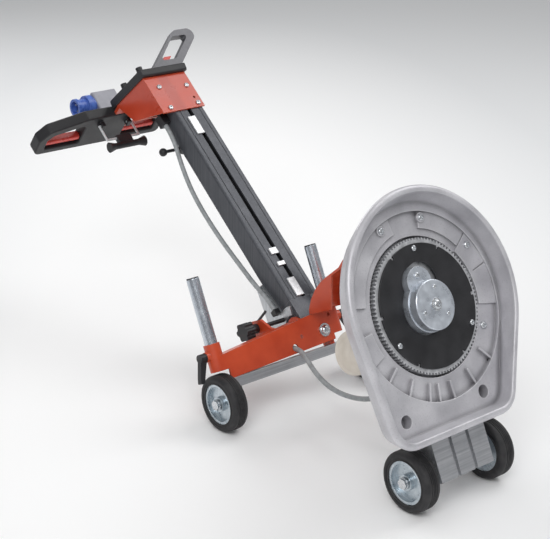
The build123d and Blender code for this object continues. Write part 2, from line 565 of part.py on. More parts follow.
# Operator handle: two closed loops and a middle web in one moulding
hw = HANDLE_HALF
handle_line = make_face(
    Polyline(
        (-hw, HANDLE_BACK), (-hw, 186), (-hw + 22, 156), (-62, HANDLE_FRONT), (62, HANDLE_FRONT),
        (hw - 22, 156), (hw, 186), (hw, HANDLE_BACK), close=True,
    )
)
handle_line = fillet(handle_line.vertices(), 14.0)
opening_line = make_face(
    Polyline(
        (-160, 222), (-160, 190), (-146, 174), (-68, 156), (-62, 162), (-62, 222), close=True,
    )
)
opening_line = fillet(opening_line.vertices(), 5.0)
handle_line -= opening_line
handle_line -= mirror(opening_line, about=Plane.YZ)
handle = extrude(handle_line, amount=HANDLE_THICK)
rims = handle.edges().filter_by(Plane.XY)
handle = fillet(rims, 4.0)
for side in (-1, 1):
    groove = block(-166.0, -56.0, 196.0, 222.0, 11.0, 19.0)
    handle -= groove if side < 0 else flip(groove)
BAIL_X = 18.0
lug_x = (BAIL_X - 38.0, BAIL_X + 38.0)
for x in lug_x:
    handle += block(x - 5.0, x + 5.0, 148.0, 166.0, -14.0, 1.0)
for x in lug_x:
    handle -= rod_x(3.0 + RUN_FIT, x - 6.0, x + 6.0, 157.0, -7.0)
HANDLE_PLACE = Pos(HANDLE_X, 0, HANDLE_LOW)
handle = HANDLE_PLACE * handle
trigger = block(-159.0, -63.0, 201.0, 215.0, 5.0, 25.0)
trigger = fillet(trigger.edges().filter_by(Axis.X), 4.0)
trigger += block(-164.5, -57.5, 203.0, 213.0, 11.0 + GAP, 19.0 - GAP)
left_trigger = HANDLE_PLACE * trigger
right_trigger = HANDLE_PLACE * flip(trigger)

# Wire bail under the handle, with a spool-shaped grip on its cross bar
wire = 3.0
bail_low = -50.0
inner_x = 34.0
outer_x = 43.0 + GAP + wire
leg_top = rod_x(wire, -outer_x, -inner_x, 157.0, -7.0)
legs = rod_z(wire, bail_low, -7.0, -outer_x, 157.0) + leg_top
legs += Pos(-outer_x, 157.0, -7.0) * Sphere(wire)
legs += Pos(-outer_x, 157.0, bail_low) * Sphere(wire)
bail = legs + flip(legs) + rod_x(wire, -outer_x, outer_x, 157.0, bail_low)
grip_z = bail_low - 22.0
grip = rod_x(8.0, -34.0, 34.0, 157.0, grip_z)
for side in (-1, 1):
    end = Pos(side * 43.0, 157.0, grip_z) * Rot(Y=90 * side) * Cone(8.0, 13.0, 18.0)
    grip += end
grip += block(-20.0, 20.0, 151.0, 163.0, grip_z, bail_low + 6.0)
grip -= rod_x(wire, -21.0, 21.0, 157.0, bail_low)
bail = HANDLE_PLACE * Pos(BAIL_X, 0, 0) * bail
grip = HANDLE_PLACE * Pos(BAIL_X, 0, 0) * grip

# Switch box on the handle's web, with a round power inlet on its side
box_left = -77.0
box_low = HANDLE_LOW + HANDLE_THICK
switch_box = block(box_left, -6.0, 170.0, 225.0, box_low, box_low + 76.0)
switch_box = fillet(switch_box.edges().filter_by(Axis.Z), 5.0)
INLET_Y = 191.0
INLET_Z = box_low + 52.0
inlet = rod_x(20.0, box_left - 54.0, box_left, INLET_Y, INLET_Z)
inlet += rod_x(27.0, box_left - 24.0, box_left - 8.0, INLET_Y, INLET_Z)
inlet += rod_x(23.0, box_left - 54.0, box_left - 46.0, INLET_Y, INLET_Z)
inlet -= rod_x(17.0, box_left - 55.0, box_left - 30.0, INLET_Y, INLET_Z)

# Upper carrying loop on the front of the slab, leaning to one side, with a red pad in it
loop_line = make_face(Polyline((-36, 0), (50, 0), (148, 92), (66, 92), close=True))
loop_line = fillet(loop_line.vertices().group_by(Axis.Y)[-1], 18.0)
hole_line = make_face(Polyline((-4, 18), (42, 18), (104, 76), (56, 76), close=True))
hole_line = fillet(hole_line.vertices(), 5.0)
loop = along_y(loop_line - hole_line, 2.0, 26.0)
loop = top_place * Pos(0, 0, SLAB_THICK) * loop
pad_line = make_face(Polyline((2.0, 18), (24, 18), (34, 28), (13.0, 28), close=True))
red_pad = top_place * Pos(0, 0, SLAB_THICK) * along_y(pad_line & hole_line, 7.0, 21.0)

# Ball lever on the back of the column
turn = rod_y(12.0, HALF_D + 8.0, HALF_D + 28.0, -15.0, 555.0)
turn -= rod_y(6.0 + RUN_FIT, HALF_D, HALF_D + 40, -15.0, 555.0)
ball = 10.0
neck = -74.0 + math.sqrt(ball**2 - 4.0**2)
arm_edge = [
    Line((-74 - ball, 0), (-24, 0)), Line((-24, 0), (-24, 4)), Line((-24, 4), (neck, 4)),
    ThreePointArc((neck, 4), (-74, ball), (-74 - ball, 0)),
]
arm = revolve(make_face(arm_edge), axis=Axis.X)
ball_lever = turn + Pos(0, HALF_D + 19.0, 555.0) * arm

column_nodes = {
    "column_profile": mast,
    "column_foot": knuckle,
    "slot_strip": strip,
    "slot_clips": clips,
    "tilt_plate": tilt_plate,
    "column_glands": [upper_gland, lower_gland],
    "top_bracket": bracket,
    "column_fasteners": screws + [lever_stud],
    "console_slab": slab,
    "console_knobs": slab_knobs,
    "handle_frame": handle,
    "left_trigger": left_trigger,
    "right_trigger": right_trigger,
    "bail_wire": bail,
    "bail_grip": grip,
    "switch_box": switch_box,
    "power_inlet": inlet,
    "upper_loop": loop,
    "loop_pad": red_pad,
    "ball_lever": ball_lever,
}
for name, shape in column_nodes.items():
    if isinstance(shape, list):
        nodes[name] = [COLUMN * piece for piece in shape]
    else:
        nodes[name] = COLUMN * shape


def cord(points, radius):
    """A round cable along straight runs joined by smooth bends."""
    points = [Vector(*point) for point in points]
    radii = []
    for before, here, after in zip(points, points[1:], points[2:]):
        turn = math.radians((here - before).get_angle(after - here))
        shorter = min((here - before).length, (after - here).length)
        radii.append(0.45 * shorter / math.tan(turn / 2))
    path = FilletPolyline(*points, radius=radii)
    print("cable length", round(path.length), "smallest bend", round(min(radii)))
    start = Plane(origin=path @ 0, z_dir=path % 0)
    tube = sweep(start * Circle(radius), path=path)
    print("cable volume ratio", round(tube.volume / (math.pi * radius**2 * path.length), 3))
    return tube


# Cable down the side of the column, and the loop from the beam to the junction box
cable_x = -HALF_W - 10.0
foot_x = -HALF_W - 13.0
upper_route = [
    (cable_x, 14.0, 606.0), (cable_x, 14.0, 566.0), (cable_x, 40.0, 508.0), (cable_x, 58.0, 444.0),
    (cable_x, 62.0, 380.0), (cable_x, 60.0, 320.0), (cable_x, 54.0, 264.0), (cable_x, 46.0, 210.0),
    (foot_x, 36.0, 164.0), (foot_x, 26.0, 122.0), (foot_x, 20.0, 94.0), (foot_x, 20.0, 70.0),
]
nodes["column_cable"] = COLUMN * cord(upper_route, CABLE_RADIUS)
lower_route = [
    (34.0, 506.0, -30.0), (34.0, 474.0, -38.0), (24.0, 446.0, -64.0), (17.0, 418.0, -100.0),
    (18.0, 384.0, -134.0), (24.0, 340.0, -158.0), (31.0, 290.0, -170.0), (35.0, 238.0, -166.0),
    (35.0, 196.0, -148.0), (34.0, 160.0, -127.0), (34.0, 124.0, -127.0),
]
nodes["motor_cable"] = cord(lower_route, CABLE_RADIUS)
box_gland = rod_y(10.0, box_back, lower_route[-1][1], 34.0, -127.0)
nodes["box_gland"] = box_gland

# Stand the machine on its wheels and centre it over the floor
upright = Rot(X=-LEAN)
standing = {}
for name, shape in nodes.items():
    pieces = shape if isinstance(shape, list) else [shape]
    standing[name] = [upright * piece for piece in pieces]
rigid = [pieces for name, pieces in standing.items() if "cable" not in name]
boxes = [piece.bounding_box() for pieces in rigid for piece in pieces]
low = [min(tuple(box.min)[axis] for box in boxes) for axis in range(3)]
high = [max(tuple(box.max)[axis] for box in boxes) for axis in range(3)]
STAND = Pos(-(low[0] + high[0]) / 2, -(low[1] + high[1]) / 2, -low[2]) * upright
os.makedirs("parts", exist_ok=True)
for name, shape in nodes.items():
    pieces = shape if isinstance(shape, list) else [shape]
    solids = []
    for piece in pieces:
        found = (STAND * piece).solids()
        if len(found) != 1:
            print("pieces in", name, len(found))
        solids.extend(found)
    if len(solids) == 1:
        export_step(solids[0], f"parts/{name}.step")
    else:
        export_step(Compound(children=solids), f"parts/{name}.step")
print("size", [round(b - a, 1) for a, b in zip(low, high)], "lean", round(LEAN, 2), "nodes", len(nodes))
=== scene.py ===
import bpy
import json
import math
from mathutils import Matrix, Vector


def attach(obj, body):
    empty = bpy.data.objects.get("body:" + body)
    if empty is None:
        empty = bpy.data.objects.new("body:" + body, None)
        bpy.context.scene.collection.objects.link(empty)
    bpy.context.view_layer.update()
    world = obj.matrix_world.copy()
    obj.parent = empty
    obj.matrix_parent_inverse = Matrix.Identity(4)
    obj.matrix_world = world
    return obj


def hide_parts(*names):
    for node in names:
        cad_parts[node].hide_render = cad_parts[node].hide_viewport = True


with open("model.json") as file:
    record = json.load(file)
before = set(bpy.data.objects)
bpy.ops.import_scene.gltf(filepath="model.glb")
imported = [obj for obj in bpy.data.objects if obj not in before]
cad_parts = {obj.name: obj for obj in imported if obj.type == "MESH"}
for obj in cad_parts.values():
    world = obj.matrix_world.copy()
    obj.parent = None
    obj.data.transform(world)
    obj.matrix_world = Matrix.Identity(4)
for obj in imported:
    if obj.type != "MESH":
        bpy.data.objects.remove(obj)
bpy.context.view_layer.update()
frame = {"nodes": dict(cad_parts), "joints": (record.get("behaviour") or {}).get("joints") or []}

# The machine leans back on its four wheels, so its own axes are turned about the axle line.
# x runs along the axles, y back along the spindle and z up the pull bars, from the disc's centre.
# The column has axes of its own, from its hinge, with z up along the profile.
nodes = frame["nodes"]
pivot = {entry["name"]: Vector(entry["pos_m"]) for entry in frame["joints"] if entry.get("pos_m")}
lean = math.atan2(0.213, 0.443)
column_lean = math.radians(24.65)
machine = Matrix.Translation(pivot["spindle_spin"]) @ Matrix.Rotation(-lean, 4, "X")
column = Matrix.Translation(pivot["column_tilt"]) @ Matrix.Rotation(-lean - column_lean, 4, "X")

# The camera stands at the front left, over two and a half metres from the head, and looks down on it.
# Its long lens keeps the column and the head at nearly one scale.
bpy.ops.object.select_all(action="DESELECT")
bpy.ops.object.camera_add()
camera = bpy.context.object
camera.name = "studio_camera"
camera_right = Vector((0.76598, -0.64285, 0.00362))
camera_up = Vector((0.22231, 0.27017, 0.93680))
camera_back = Vector((-0.60320, -0.71676, 0.34986))
camera_turn = Matrix((camera_right, camera_up, camera_back)).transposed().to_4x4()
camera_place = pivot["spindle_spin"] + Vector((-1.8205, -1.7074, 1.0006))
camera.matrix_world = Matrix.Translation(camera_place) @ camera_turn
picture_width = 550
focal_pixels = 1401.26
camera.data.sensor_width = 36.0
camera.data.lens = focal_pixels / picture_width * camera.data.sensor_width
camera.data.shift_y = -1.5 / picture_width
camera.data.clip_end = 60.0
bpy.context.scene.camera = camera
bpy.context.scene.view_settings.view_transform = "Standard"

# Studio floor: one pale sheet with a painted pool of light, white behind the machine and fading to a cool
# pale grey towards the sides.
# It carries the machine's soft shadow.
bpy.ops.mesh.primitive_plane_add(size=16.0, location=(0.0, 0.0, 0.0))
floor = bpy.context.object
floor.name = "studio_floor"
floor_paper_with_painted_light = bpy.data.materials.new("floor_paper_with_painted_light")
floor_paper_with_painted_light.use_nodes = True
tree = floor_paper_with_painted_light.node_tree
shader = tree.nodes["Principled BSDF"]
shader.inputs["Roughness"].default_value = 0.9
place = tree.nodes.new("ShaderNodeTexCoord").outputs["Object"]
# Painted pool of light: a stretched spherical gradient lays white behind the machine over the pale grey.
light_pool_place = tree.nodes.new("ShaderNodeMapping")
light_pool_place.vector_type = "TEXTURE"
light_pool_place.inputs["Location"].default_value = (0.25, 0.45, 0.0)
light_pool_place.inputs["Rotation"].default_value = (0.0, 0.0, math.radians(-40.0))
light_pool_place.inputs["Scale"].default_value = (1.25, 4.0, 1.0)
painted_light_pool = tree.nodes.new("ShaderNodeTexGradient")
painted_light_pool.gradient_type = "SPHERICAL"
paper_and_light_pool_tones = tree.nodes.new("ShaderNodeValToRGB")
paper_and_light_pool_tones.color_ramp.elements[0].position = 0.0
paper_and_light_pool_tones.color_ramp.elements[0].color = (0.78, 0.79, 0.80, 1.0)
paper_and_light_pool_tones.color_ramp.elements[1].position = 0.62
paper_and_light_pool_tones.color_ramp.elements[1].color = (0.97, 0.97, 0.97, 1.0)
tree.links.new(place, light_pool_place.inputs["Vector"])
tree.links.new(light_pool_place.outputs["Vector"], painted_light_pool.inputs["Vector"])
tree.links.new(painted_light_pool.outputs["Fac"], paper_and_light_pool_tones.inputs["Fac"])
tree.links.new(paper_and_light_pool_tones.outputs["Color"], shader.inputs["Base Color"])
floor.data.materials.append(floor_paper_with_painted_light)

# Studio light: a soft box high on the left, one over the right that gleams on the column, a strip behind.
# The room is bright overhead and dimmer low down, so that metal shows its form.
for name, spot, aim, size, power in (
    ("key_box", (-2.6, -2.6, 3.6), (0.0, -0.1, 0.3), 2.4, 88.0),
    ("fill_box", (2.5, -0.8, 3.4), (0.0, 0.1, 0.4), 2.4, 52.0),
    ("rear_strip", (0.6, 3.4, 2.8), (0.0, 0.1, 0.4), 1.8, 46.0),
):
    bpy.ops.object.light_add(type="AREA", location=spot)
    lamp = bpy.context.object
    lamp.name = name
    lamp.data.size = size
    lamp.data.energy = power
    lamp.rotation_euler = (Vector(aim) - Vector(spot)).to_track_quat("-Z", "Y").to_euler()
room = bpy.data.worlds.new("studio_room")
bpy.context.scene.world = room
room.use_nodes = True
tree = room.node_tree
background = tree.nodes["Background"]
background.inputs["Strength"].default_value = 0.5
sky_place = tree.nodes.new("ShaderNodeTexCoord")
sky_split = tree.nodes.new("ShaderNodeSeparateXYZ")
sky_tones = tree.nodes.new("ShaderNodeValToRGB")
sky_tones.color_ramp.elements[0].position = 0.0
sky_tones.color_ramp.elements[0].color = (0.55, 0.56, 0.58, 1.0)
sky_tones.color_ramp.elements[1].position = 0.75
sky_tones.color_ramp.elements[1].color = (1.0, 1.0, 1.0, 1.0)
tree.links.new(sky_place.outputs["Generated"], sky_split.inputs["Vector"])
tree.links.new(sky_split.outputs["Z"], sky_tones.inputs["Fac"])
tree.links.new(sky_tones.outputs["Color"], background.inputs["Color"])


# Head casting: sand-cast aluminium, left as cast inside and lightly blasted outside.
# The skin is finely pitted with soft clouds in its tone; its edges are rubbed bright and also carry a
# painted highlight, and painted shade darkens its inner corners.
def linear(red, green, blue):
    """A screen colour, 0 to 255, in the shader's own values."""
    values = []
    for value in (red / 255, green / 255, blue / 255):
        values.append(value / 12.92 if value <= 0.04045 else ((value + 0.055) / 1.055) ** 2.4)
    return (*values, 1.0)


def new_finish(name, rough, metal):
    """An empty finish, with the place on the piece that its patterns follow."""
    material = bpy.data.materials.new(name)
    material.use_nodes = True
    tree = material.node_tree
    shader = tree.nodes["Principled BSDF"]
    shader.inputs["Roughness"].default_value = rough
    shader.inputs["Metallic"].default_value = metal
    return material, tree, shader, tree.nodes.new("ShaderNodeTexCoord").outputs["Object"]


def clouds(tree, place, size, detail=4.0, stretch=(1.0, 1.0, 1.0), turn=0.0):
    """Noise with blotches of about that size in metres, drawn out along the piece where stretched."""
    mapping = tree.nodes.new("ShaderNodeMapping")
    mapping.inputs["Scale"].default_value = stretch
    mapping.inputs["Rotation"].default_value = (turn, 0.0, 0.0)
    noise = tree.nodes.new("ShaderNodeTexNoise")
    noise.inputs["Scale"].default_value = 1.0 / size
    noise.inputs["Detail"].default_value = detail
    tree.links.new(place, mapping.inputs["Vector"])
    tree.links.new(mapping.outputs["Vector"], noise.inputs["Vector"])
    return noise.outputs["Fac"]


def tones(tree, amount, *stops):
    """Colours laid along a value, each stop a position and a colour."""
    node = tree.nodes.new("ShaderNodeValToRGB")
    elements = node.color_ramp.elements
    while len(elements) < len(stops):
        elements.new(0.5)
    for element, (position, colour) in zip(elements, stops):
        element.position = position
        element.color = colour
    tree.links.new(amount, node.inputs["Fac"])
    return node.outputs["Color"]


def spread(tree, amount, low, high, start=0.3, stop=0.7):
    """A value between low and high, in step with a noise."""
    node = tree.nodes.new("ShaderNodeMapRange")
    node.inputs["From Min"].default_value = start
    node.inputs["From Max"].default_value = stop
    node.inputs["To Min"].default_value = low
    node.inputs["To Max"].default_value = high
    tree.links.new(amount, node.inputs["Value"])
    return node.outputs["Result"]


def over(tree, amount, under, colour):
    """One colour laid over another where the amount says."""
    node = tree.nodes.new("ShaderNodeMix")
    node.data_type = "RGBA"
    tree.links.new(amount, node.inputs["Factor"])
    tree.links.new(under, node.inputs[6])
    if isinstance(colour, tuple):
        node.inputs[7].default_value = colour
    else:
        tree.links.new(colour, node.inputs[7])
    return node.outputs[2]


def edges(tree, width, start=0.02, stop=0.25):
    """Where the piece has an outer or inner edge within that width."""
    soft = tree.nodes.new("ShaderNodeBevel")
    soft.inputs["Radius"].default_value = width
    flat = tree.nodes.new("ShaderNodeNewGeometry")
    match = tree.nodes.new("ShaderNodeVectorMath")
    match.operation = "DOT_PRODUCT"
    tree.links.new(soft.outputs["Normal"], match.inputs[0])
    tree.links.new(flat.outputs["Normal"], match.inputs[1])
    return spread(tree, match.outputs["Value"], 1.0, 0.0, 1.0 - stop, 1.0 - start)


def corners(tree, width):
    """Where the piece has an inner corner within that width."""
    shade = tree.nodes.new("ShaderNodeAmbientOcclusion")
    shade.only_local = True
    shade.inputs["Distance"].default_value = width
    return spread(tree, shade.outputs["AO"], 1.0, 0.0, 0.35, 0.95)


def edge_wear_and_highlight(tree, tone, width, amount, colour):
    """A tone with its edges turned to another colour: rubbing wear, and on some pieces a painted highlight.
    """
    return over(tree, spread(tree, edges(tree, width), 0.0, amount, 0.0, 1.0), tone, colour)


def painted_corner_shade(tree, tone, width, amount, colour):
    """A tone with painted shade of another colour in its inner corners, from an occlusion mask."""
    return over(tree, spread(tree, corners(tree, width), 0.0, amount, 0.0, 1.0), tone, colour)


def relief(tree, shader, height, depth, rounding=0.0, strength=1.0):
    """Small bumps in the skin, that deep in metres, with the edges eased over a small radius."""
    bump = tree.nodes.new("ShaderNodeBump")
    bump.inputs["Distance"].default_value = depth
    bump.inputs["Strength"].default_value = strength
    tree.links.new(height, bump.inputs["Height"])
    if rounding:
        soft = tree.nodes.new("ShaderNodeBevel")
        soft.inputs["Radius"].default_value = rounding
        tree.links.new(soft.outputs["Normal"], bump.inputs["Normal"])
    tree.links.new(bump.outputs["Normal"], shader.inputs["Normal"])


def dress(material, *names):
    """Gives these CAD pieces a finish."""
    for name in names:
        piece = nodes[name]
        if not piece.material_slots:
            piece.data.materials.append(material)
        for holder in piece.material_slots:
            holder.material = material


cast_skin, tree, shader, place = new_finish("cast_skin", 0.46, 0.4)
cast_clouds = clouds(tree, place, 0.06)
cast_grain = clouds(tree, place, 0.0022, 6.0)
cast_tone = tones(tree, cast_clouds, (0.3, linear(186, 185, 190)), (0.7, linear(214, 213, 217)))
cast_speck = tones(tree, cast_grain, (0.32, (0.0, 0.0, 0.0, 1.0)), (0.42, (1.0, 1.0, 1.0, 1.0)))
cast_tone = over(tree, spread(tree, cast_speck, 0.35, 0.0, 0.0, 1.0), cast_tone, linear(142, 141, 145))
# Edges lightened to near white: rubbing wear, and a painted highlight along the rim and steps.
cast_tone = edge_wear_and_highlight(tree, cast_tone, 0.004, 0.75, linear(238, 238, 240))
# Painted shade: inner corners darkened to a dark grey by an occlusion mask.
cast_tone = painted_corner_shade(tree, cast_tone, 0.014, 0.75, linear(94, 92, 97))
tree.links.new(cast_tone, shader.inputs["Base Color"])
tree.links.new(spread(tree, cast_clouds, 0.36, 0.52), shader.inputs["Roughness"])
relief(tree, shader, cast_grain, 0.0004, 0.0022, 0.8)
dress(cast_skin, "head_casting", "pinion_cover")

# Spindle gearing: a cut steel ring gear with its pinion and two bearing rings, lightly oiled.
# The turned faces carry fine tool marks, and painted shade darkens the gaps between the teeth and other
# inner corners.
gear_steel, tree, shader, place = new_finish("gear_steel", 0.36, 0.45)
oil = clouds(tree, place, 0.012)
gear_tone = tones(tree, oil, (0.3, linear(176, 177, 180)), (0.7, linear(214, 215, 218)))
# Painted shade: gaps and inner corners darkened by an occlusion mask.
gear_tone = painted_corner_shade(tree, gear_tone, 0.003, 0.7, linear(70, 70, 73))
gear_tone = edge_wear_and_highlight(tree, gear_tone, 0.0012, 0.7, linear(228, 229, 232))
tree.links.new(gear_tone, shader.inputs["Base Color"])
tree.links.new(spread(tree, oil, 0.25, 0.45), shader.inputs["Roughness"])
relief(tree, shader, clouds(tree, place, 0.0012, 2.0), 0.00015, 0.0006, 0.6)
dress(gear_steel, "ring_gear", "motor_pinion", "spindle_bearings")

# Cover disc: a black moulded plate over the gear, with a faint satin grain.
# Grinding dust has dulled it in patches and its notched edge is scuffed.
disc_black, tree, shader, place = new_finish("disc_black", 0.5, 0.0)
dust = clouds(tree, place, 0.035, 5.0)
disc_tone = tones(tree, dust, (0.35, linear(24, 24, 27)), (0.72, linear(42, 42, 45)))
disc_tone = edge_wear_and_highlight(tree, disc_tone, 0.001, 0.5, linear(120, 120, 124))
tree.links.new(disc_tone, shader.inputs["Base Color"])
tree.links.new(spread(tree, dust, 0.42, 0.62), shader.inputs["Roughness"])
relief(tree, shader, clouds(tree, place, 0.0012, 3.0), 0.00025, 0.0008, 0.7)
dress(disc_black, "cover_disc")


# Cover screws: three domed socket screws in bright plated steel, set flat on the disc.
# Each head is a turned dome with a six-sided socket sunk in its top.
def socket_head(radius, height, socket):
    """The mesh of one domed head with its socket, standing on the origin along z."""
    bpy.ops.object.select_all(action="DESELECT")
    middle = (0, 0, height / 2)
    bpy.ops.mesh.primitive_cylinder_add(vertices=40, radius=radius, depth=height, location=middle)
    head = bpy.context.object
    bpy.ops.object.transform_apply(location=True, rotation=True, scale=True)
    bpy.ops.object.mode_set(mode="EDIT")
    bpy.ops.mesh.select_mode(type="EDGE")
    bpy.ops.mesh.select_all(action="DESELECT")
    bpy.ops.object.mode_set(mode="OBJECT")
    for edge in head.data.edges:
        edge.select = all(head.data.vertices[index].co.z > height * 0.9 for index in edge.vertices)
    bpy.ops.object.mode_set(mode="EDIT")
    bpy.ops.mesh.bevel(offset=height * 0.75, segments=6, affect="EDGES", clamp_overlap=True)
    bpy.ops.object.mode_set(mode="OBJECT")
    bpy.ops.mesh.primitive_cylinder_add(vertices=6, radius=socket, depth=height, location=(0, 0, height))
    cutter = bpy.context.object
    bpy.context.view_layer.objects.active = head
    cut = head.modifiers.new("socket", "BOOLEAN")
    cut.operation = "DIFFERENCE"
    cut.object = cutter
    bpy.ops.object.modifier_apply(modifier=cut.name)
    bpy.data.objects.remove(cutter)
    mesh = head.data
    bpy.data.objects.remove(head)
    return mesh


def set_in_place(name, body, material, parts):
    """One piece made of copies of meshes, each put in its place, riding on a body."""
    bpy.ops.object.select_all(action="DESELECT")
    made = []
    for mesh, where in parts:
        copy = mesh.copy()
        copy.transform(where)
        made.append(bpy.data.objects.new(name, copy))
        bpy.context.collection.objects.link(made[-1])
        made[-1].select_set(True)
    bpy.context.view_layer.objects.active = made[0]
    if len(made) > 1:
        bpy.ops.object.join()
    piece = bpy.context.view_layer.objects.active
    bpy.ops.object.shade_smooth_by_angle(angle=math.radians(35))
    piece.data.materials.clear()
    piece.data.materials.append(material)
    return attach(piece, body)


bright_steel, tree, shader, place = new_finish("bright_steel", 0.24, 1.0)
plating = clouds(tree, place, 0.004, 5.0)
plating_tone = tones(tree, plating, (0.3, linear(196, 200, 204)), (0.7, linear(232, 234, 236)))
tree.links.new(plating_tone, shader.inputs["Base Color"])
tree.links.new(spread(tree, plating, 0.18, 0.34), shader.inputs["Roughness"])
relief(tree, shader, clouds(tree, place, 0.0008, 2.0), 0.00006, 0.0005, 0.5)
forward = Matrix.Rotation(math.radians(90), 4, "X")
cover_head = socket_head(0.006, 0.004, 0.0026)
cover_circle = 0.113
cover_places = []
for angle in (89.0, 209.0, 329.0):
    x = cover_circle * math.cos(math.radians(angle))
    z = cover_circle * math.sin(math.radians(angle))
    cover_places.append((cover_head, machine @ Matrix.Translation((x, 0.0, z)) @ forward))
cover_heads = set_in_place("cover_screw_heads", "spindle", bright_steel, cover_places)
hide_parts("cover_screws")

# Casting screws: four larger heads of the same kind, on the upper bosses, the pinion cover and the floor.
# They hold the cover and the motor plate from the front.
casting_head = socket_head(0.007, 0.004, 0.003)
cover_plate_head = socket_head(0.008, 0.005, 0.0034)
casting_places = []
for mesh, x, y, z in (
    (casting_head, -0.064, 0.002, 0.161), (casting_head, 0.044, 0.002, 0.166),
    (cover_plate_head, 0.1445, 0.004, 0.089), (cover_plate_head, 0.134, 0.010, -0.072),
):
    casting_places.append((mesh, machine @ Matrix.Translation((x, y, z)) @ forward))
casting_heads = set_in_place("casting_screw_heads", "chassis", bright_steel, casting_places)
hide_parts("casting_screws")

# Drive hub: an eccentric turned steel nose on a shoulder with a side lobe, rubbed by the tool plates.
# Fine turning rings run round its face.
hub_x = -0.012
hub_front = -0.033
hub_grey, tree, shader, place = new_finish("hub_grey", 0.32, 0.65)
hub_place = tree.nodes.new("ShaderNodeMapping")
hub_place.vector_type = "TEXTURE"
hub_place.inputs["Location"].default_value = machine @ Vector((hub_x, 0.0, 0.0))
hub_place.inputs["Rotation"].default_value = (math.radians(90) - lean, 0.0, 0.0)
rings = tree.nodes.new("ShaderNodeTexWave")
rings.wave_type = "RINGS"
rings.rings_direction = "Z"
rings.inputs["Scale"].default_value = 190.0
rings.inputs["Distortion"].default_value = 1.5
tree.links.new(place, hub_place.inputs["Vector"])
tree.links.new(hub_place.outputs["Vector"], rings.inputs["Vector"])
rub = clouds(tree, place, 0.02, 5.0)
hub_tone = tones(tree, rub, (0.3, linear(184, 190, 198)), (0.7, linear(222, 228, 236)))
hub_tone = edge_wear_and_highlight(tree, hub_tone, 0.0015, 0.7, linear(230, 232, 235))
tree.links.new(hub_tone, shader.inputs["Base Color"])
tree.links.new(spread(tree, rub, 0.24, 0.4), shader.inputs["Roughness"])
relief(tree, shader, rings.outputs["Fac"], 0.00012, 0.0008, 0.6)
dress(hub_grey, "drive_hub")

# Hub bolts: the centre bolt on its washer, the lobe's screw, and three small screws round the nose.
# All are plated steel with sunk sockets.
hub_washer = 0.0025
nose_circle = 0.034
bpy.ops.object.select_all(action="DESELECT")
bpy.ops.mesh.primitive_cylinder_add(
    vertices=48, radius=0.013, depth=hub_washer, location=(0, 0, hub_washer / 2)
)
washer = bpy.context.object
bpy.ops.object.transform_apply(location=True, rotation=True, scale=True)
bpy.ops.object.mode_set(mode="EDIT")
bpy.ops.mesh.select_all(action="SELECT")
bpy.ops.mesh.bevel(offset=0.0006, segments=2, affect="EDGES")
bpy.ops.object.mode_set(mode="OBJECT")
washer_mesh = washer.data
bpy.data.objects.remove(washer)
centre_head = socket_head(0.009, 0.0055, 0.0045)
lobe_head = socket_head(0.006, 0.004, 0.0026)
nose_head = socket_head(0.0042, 0.0022, 0.0019)
hub_places = [
    (washer_mesh, machine @ Matrix.Translation((hub_x, hub_front, 0.0)) @ forward),
    (centre_head, machine @ Matrix.Translation((hub_x, hub_front - 0.0024, 0.0)) @ forward),
    (lobe_head, machine @ Matrix.Translation((-0.020, -0.012, 0.062)) @ forward),
]
for angle in (76.0, 196.0, 316.0):
    x = hub_x + nose_circle * math.cos(math.radians(angle))
    z = nose_circle * math.sin(math.radians(angle))
    hub_places.append((nose_head, machine @ Matrix.Translation((x, hub_front, z)) @ forward))
hub_heads = set_in_place("hub_bolt_heads", "spindle", bright_steel, hub_places)
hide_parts("hub_bolts")

# Motor: a finned cast body with a pressed steel fan cowl, both painted machine grey.
# The paint has a fine orange-peel skin, and dust lies in it.
motor_grey, tree, shader, place = new_finish("motor_grey", 0.42, 0.0)
motor_dust = clouds(tree, place, 0.03, 5.0)
motor_tone = tones(tree, motor_dust, (0.3, linear(116, 120, 126)), (0.7, linear(142, 146, 151)))
motor_tone = edge_wear_and_highlight(tree, motor_tone, 0.0012, 0.5, linear(190, 192, 195))
tree.links.new(motor_tone, shader.inputs["Base Color"])
tree.links.new(spread(tree, motor_dust, 0.36, 0.55), shader.inputs["Roughness"])
relief(tree, shader, clouds(tree, place, 0.0016, 2.0), 0.0002, 0.001, 0.6)
dress(motor_grey, "motor_body", "motor_cowl")

# Black mouldings: junction box, glands, knobs, levers, slot strip, console slab and handle, in filled nylon.
# A fine spark-eroded grain covers them, worn paler along the edges.
nylon_black, tree, shader, place = new_finish("nylon_black", 0.46, 0.0)
handling = clouds(tree, place, 0.045, 4.0)
nylon_grain = clouds(tree, place, 0.0011, 3.0)
nylon_tone = tones(tree, handling, (0.3, linear(25, 25, 28)), (0.7, linear(37, 37, 40)))
nylon_tone = edge_wear_and_highlight(tree, nylon_tone, 0.0025, 0.45, linear(96, 96, 101))
tree.links.new(nylon_tone, shader.inputs["Base Color"])
tree.links.new(spread(tree, handling, 0.38, 0.54), shader.inputs["Roughness"])
relief(tree, shader, nylon_grain, 0.00028, 0.0016, 0.7)
dress(
    nylon_black, "junction_box", "box_gland", "lock_pin", "left_clamp_lever", "right_clamp_lever",
    "star_knob", "slot_strip", "column_glands", "console_slab", "console_knobs", "handle_frame",
    "bail_grip", "ball_lever",
)

# Dust port: a cream moulded spigot on the back of the casting, for an extraction hose.
# The plastic is slightly mottled and has yellowed unevenly.
port_cream, tree, shader, place = new_finish("port_cream", 0.5, 0.0)
yellowing = clouds(tree, place, 0.025, 4.0)
yellowing_tone = tones(tree, yellowing, (0.3, linear(204, 194, 181)), (0.7, linear(222, 214, 203)))
tree.links.new(yellowing_tone, shader.inputs["Base Color"])
tree.links.new(spread(tree, yellowing, 0.42, 0.58), shader.inputs["Roughness"])
relief(tree, shader, clouds(tree, place, 0.0015, 2.0), 0.0002, 0.001, 0.5)
dress(port_cream, "dust_port")

